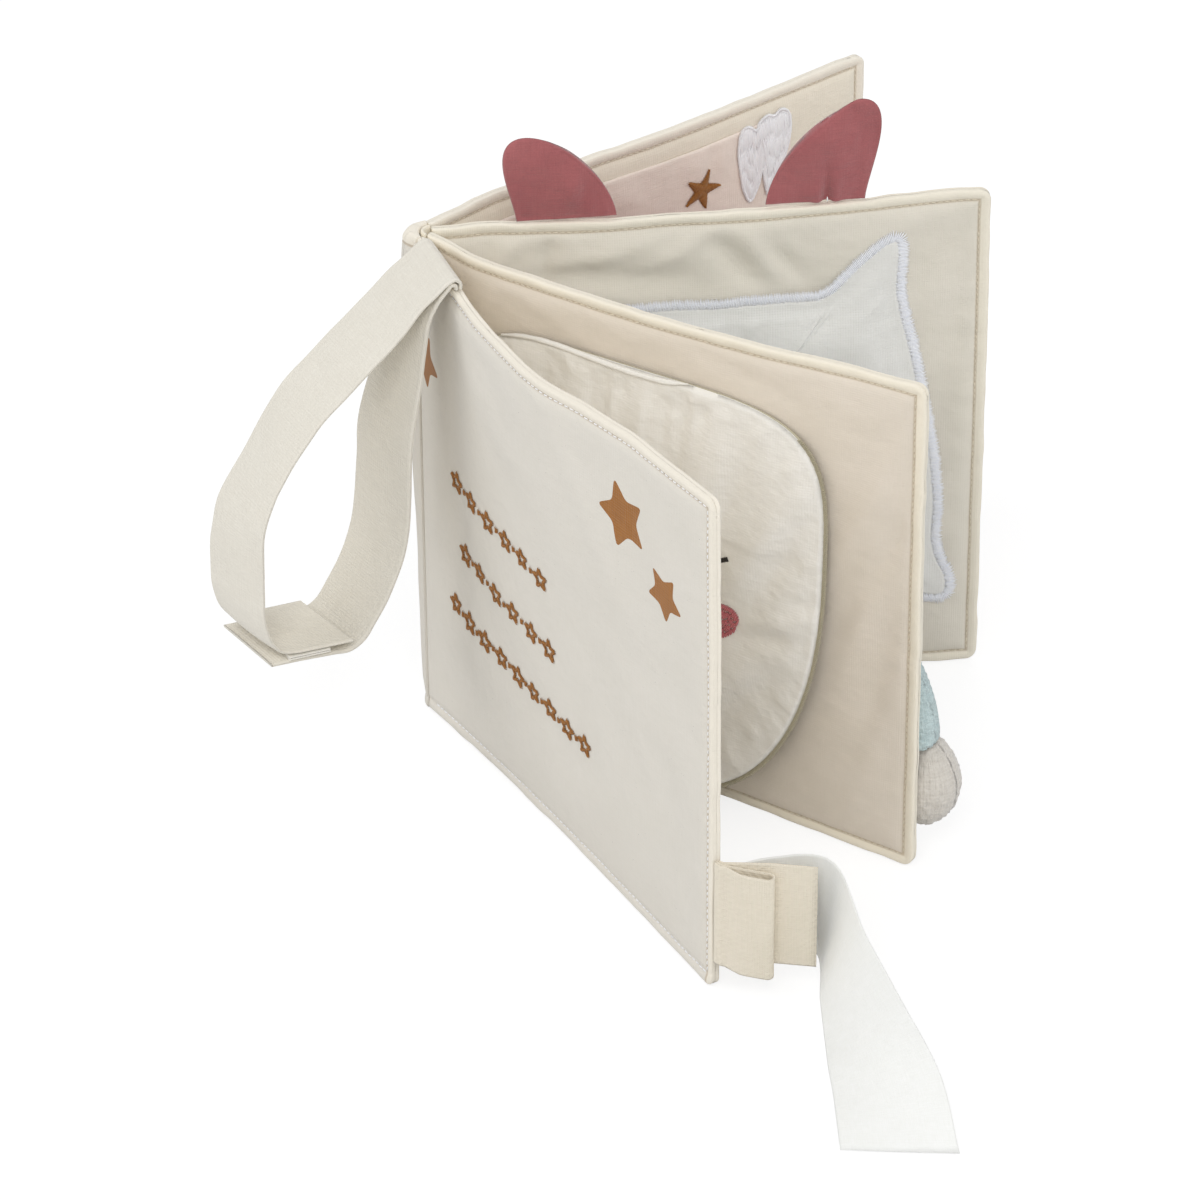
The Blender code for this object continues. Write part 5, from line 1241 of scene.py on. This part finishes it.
satin_line("rear_star", arms, lambda share: 0.3 + STAR_REACH * 0.62 * (1 - share) ** 0.8 * ease(-0.3, 0.25, share),
           lambda a, h: panel_point(a, h, 0.2 * MM), OUT["back_cover"], BROWN_THREAD, "back_cover",
           pitch=0.34, radius=0.24, lift=0.5, jitter=0.25)

# The cover's printed stars and its three rows of stitched ornaments

PRINTED_STARS = ((133.2, 150.2, 12.6, 112), (154.9, 133.4, 9.8, 128), (5.6, 139.2, 11.5, 62))
ORNAMENT_ROWS = ((29.5, 105.2, 85.5, 101.4, 6), (31.8, 79.1, 87.5, 74.7, 6), (22.8, 54.1, 105.7, 48.5, 9))


def star(x, y, reach, turn, notch=0.52, tip=0.24, inner=0.2):
    """A plain five-pointed star with rounded tips, as a ring of points in millimetres."""
    corners = []
    for k in range(10):
        angle = math.radians(turn + 36 * k)
        size = reach * (notch if k % 2 else 1)
        corners.append(np.array((x + size * math.cos(angle), y + size * math.sin(angle))))
    ring = []
    for k, corner in enumerate(corners):
        part = inner if k % 2 else tip
        a, b = (corner + (corners[(k + way) % 10] - corner) * part for way in (-1, 1))
        ring += [a * (1 - t) ** 2 + corner * 2 * t * (1 - t) + b * t**2 for t in (0, 0.25, 0.5, 0.75, 1)]
    return np.array(ring + ring[:1])


def cover_point(a, h, proud=0.0):
    return FACES["cover_front"].row(np.clip(a, 0.8 * MM, None), h, proud)


for k, (x, y, reach, turn) in enumerate(PRINTED_STARS):
    motif(f"printed_star_{k + 1}", by_length(star(x, y, reach, turn) * MM), (x * MM, y * MM), cover_point, 0.0,
          0.05 * MM, BROWN_PRINT, "front_cover", count=24, around=200)
stars, dots, rng = [], [], np.random.default_rng(41)
for x1, y1, x2, y2, count in ORNAMENT_ROWS:
    for k in range(2 * count - 1):
        share = k / (2 * count - 2)
        x, y = x1 + (x2 - x1) * share, y1 + (y2 - y1) * share + rng.uniform(-0.5, 0.5)
        if k % 2:
            dots.append(np.array([(x, y - 0.9), (x, y + 0.9)]) * MM)
            continue
        points = star(x, y, rng.uniform(3.5, 4.1), 90 + rng.uniform(-12, 12), 0.42, 0.0, 0.0) * MM
        stars.append(np.stack(by_length(points)(np.linspace(0, 1, 60)), -1))
for name, lines, width, jitter, slant in (("cover_ornaments", stars, 1.0, 0.22, 0.25), ("cover_dots", dots, 1.5, 0.3, 0)):
    satin_line(name, lines, width, lambda a, h: cover_point(a, h, 0.1 * MM), OUT["front_cover"], BROWN_THREAD,
               "front_cover", pitch=0.34, radius=0.2, lift=0.5, jitter=jitter, slant=slant)

# The stage and the light

FLOOR_REACH, FLOOR_DROP = 6, 0.0004
FLOOR_COLOUR, FLOOR_GLOW = 0.30, 0.78


def stage_material(name, colour, glow):
    """A pale floor that keeps shadows and shows white to the camera."""
    made = bpy.data.materials.new(name)
    add = adder(made)
    made.node_tree.nodes.clear()
    camera_ray, glossy, through = (
        add("LightPath", output=kind) for kind in ("Is Camera Ray", "Is Glossy Ray", "Is Transmission Ray"))
    more = add("Math", {0: glossy, 1: through}, operation="MAXIMUM")
    seen = add("Math", {0: camera_ray, 1: more}, operation="MAXIMUM")
    plain = add("BsdfDiffuse", {"Color": (0.8, 0.8, 0.8, 1)})
    dim = add("BsdfDiffuse", {"Color": (colour, colour, colour, 1)})
    both = add("AddShader", {0: dim, 1: add("Emission", {"Strength": glow})})
    add("OutputMaterial", {"Surface": add("MixShader", {0: seen, 1: plain, 2: both})})
    return made


floor = bpy.data.objects.new("floor", bpy.data.meshes.new("floor"))
corners = [(x * FLOOR_REACH, y * FLOOR_REACH, -FLOOR_DROP) for x, y in ((-1, -1), (1, -1), (1, 1), (-1, 1))]
floor.data.from_pydata(corners, [], [(0, 1, 2, 3)])
floor.data.materials.append(stage_material("floor_white", FLOOR_COLOUR, FLOOR_GLOW))
scene.collection.objects.link(floor)

scene.world = bpy.data.worlds.new("studio")
add = adder(scene.world)
scene.world.node_tree.nodes.clear()
soft = add("Background", {"Color": (0.965, 0.98, 1.0, 1), "Strength": 0.48})
white = add("Background", {"Strength": 1.0})
seen = add("LightPath", output="Is Camera Ray")
add("OutputWorld", {"Surface": add("MixShader", {0: seen, 1: soft, 2: white})})

LAMPS = {
    "key": ((0.2, -1.5, 1.7), 1.2, 17.0, (1.0, 0.985, 0.96)), "fill": ((1.7, -0.4, 0.9), 1.3, 6.0, (1, 1, 1)),
    "left": ((-1.4, -0.5, 1.0), 1.0, 7.0, (1, 1, 1)), "behind": ((0.1, 1.4, 1.6), 1.2, 5.0, (1, 1, 1)),
}
LIT_PLACE = Vector((0.08, 0.0, 0.09))
for name, (place, size, power, colour) in LAMPS.items():
    lamp = bpy.data.objects.new(name, bpy.data.lights.new(name, "AREA"))
    lamp.data.size = size
    lamp.data.energy = power
    lamp.data.color = colour
    lamp.location = place
    lamp.rotation_euler = (LIT_PLACE - Vector(place)).to_track_quat("-Z", "Y").to_euler()
    scene.collection.objects.link(lamp)
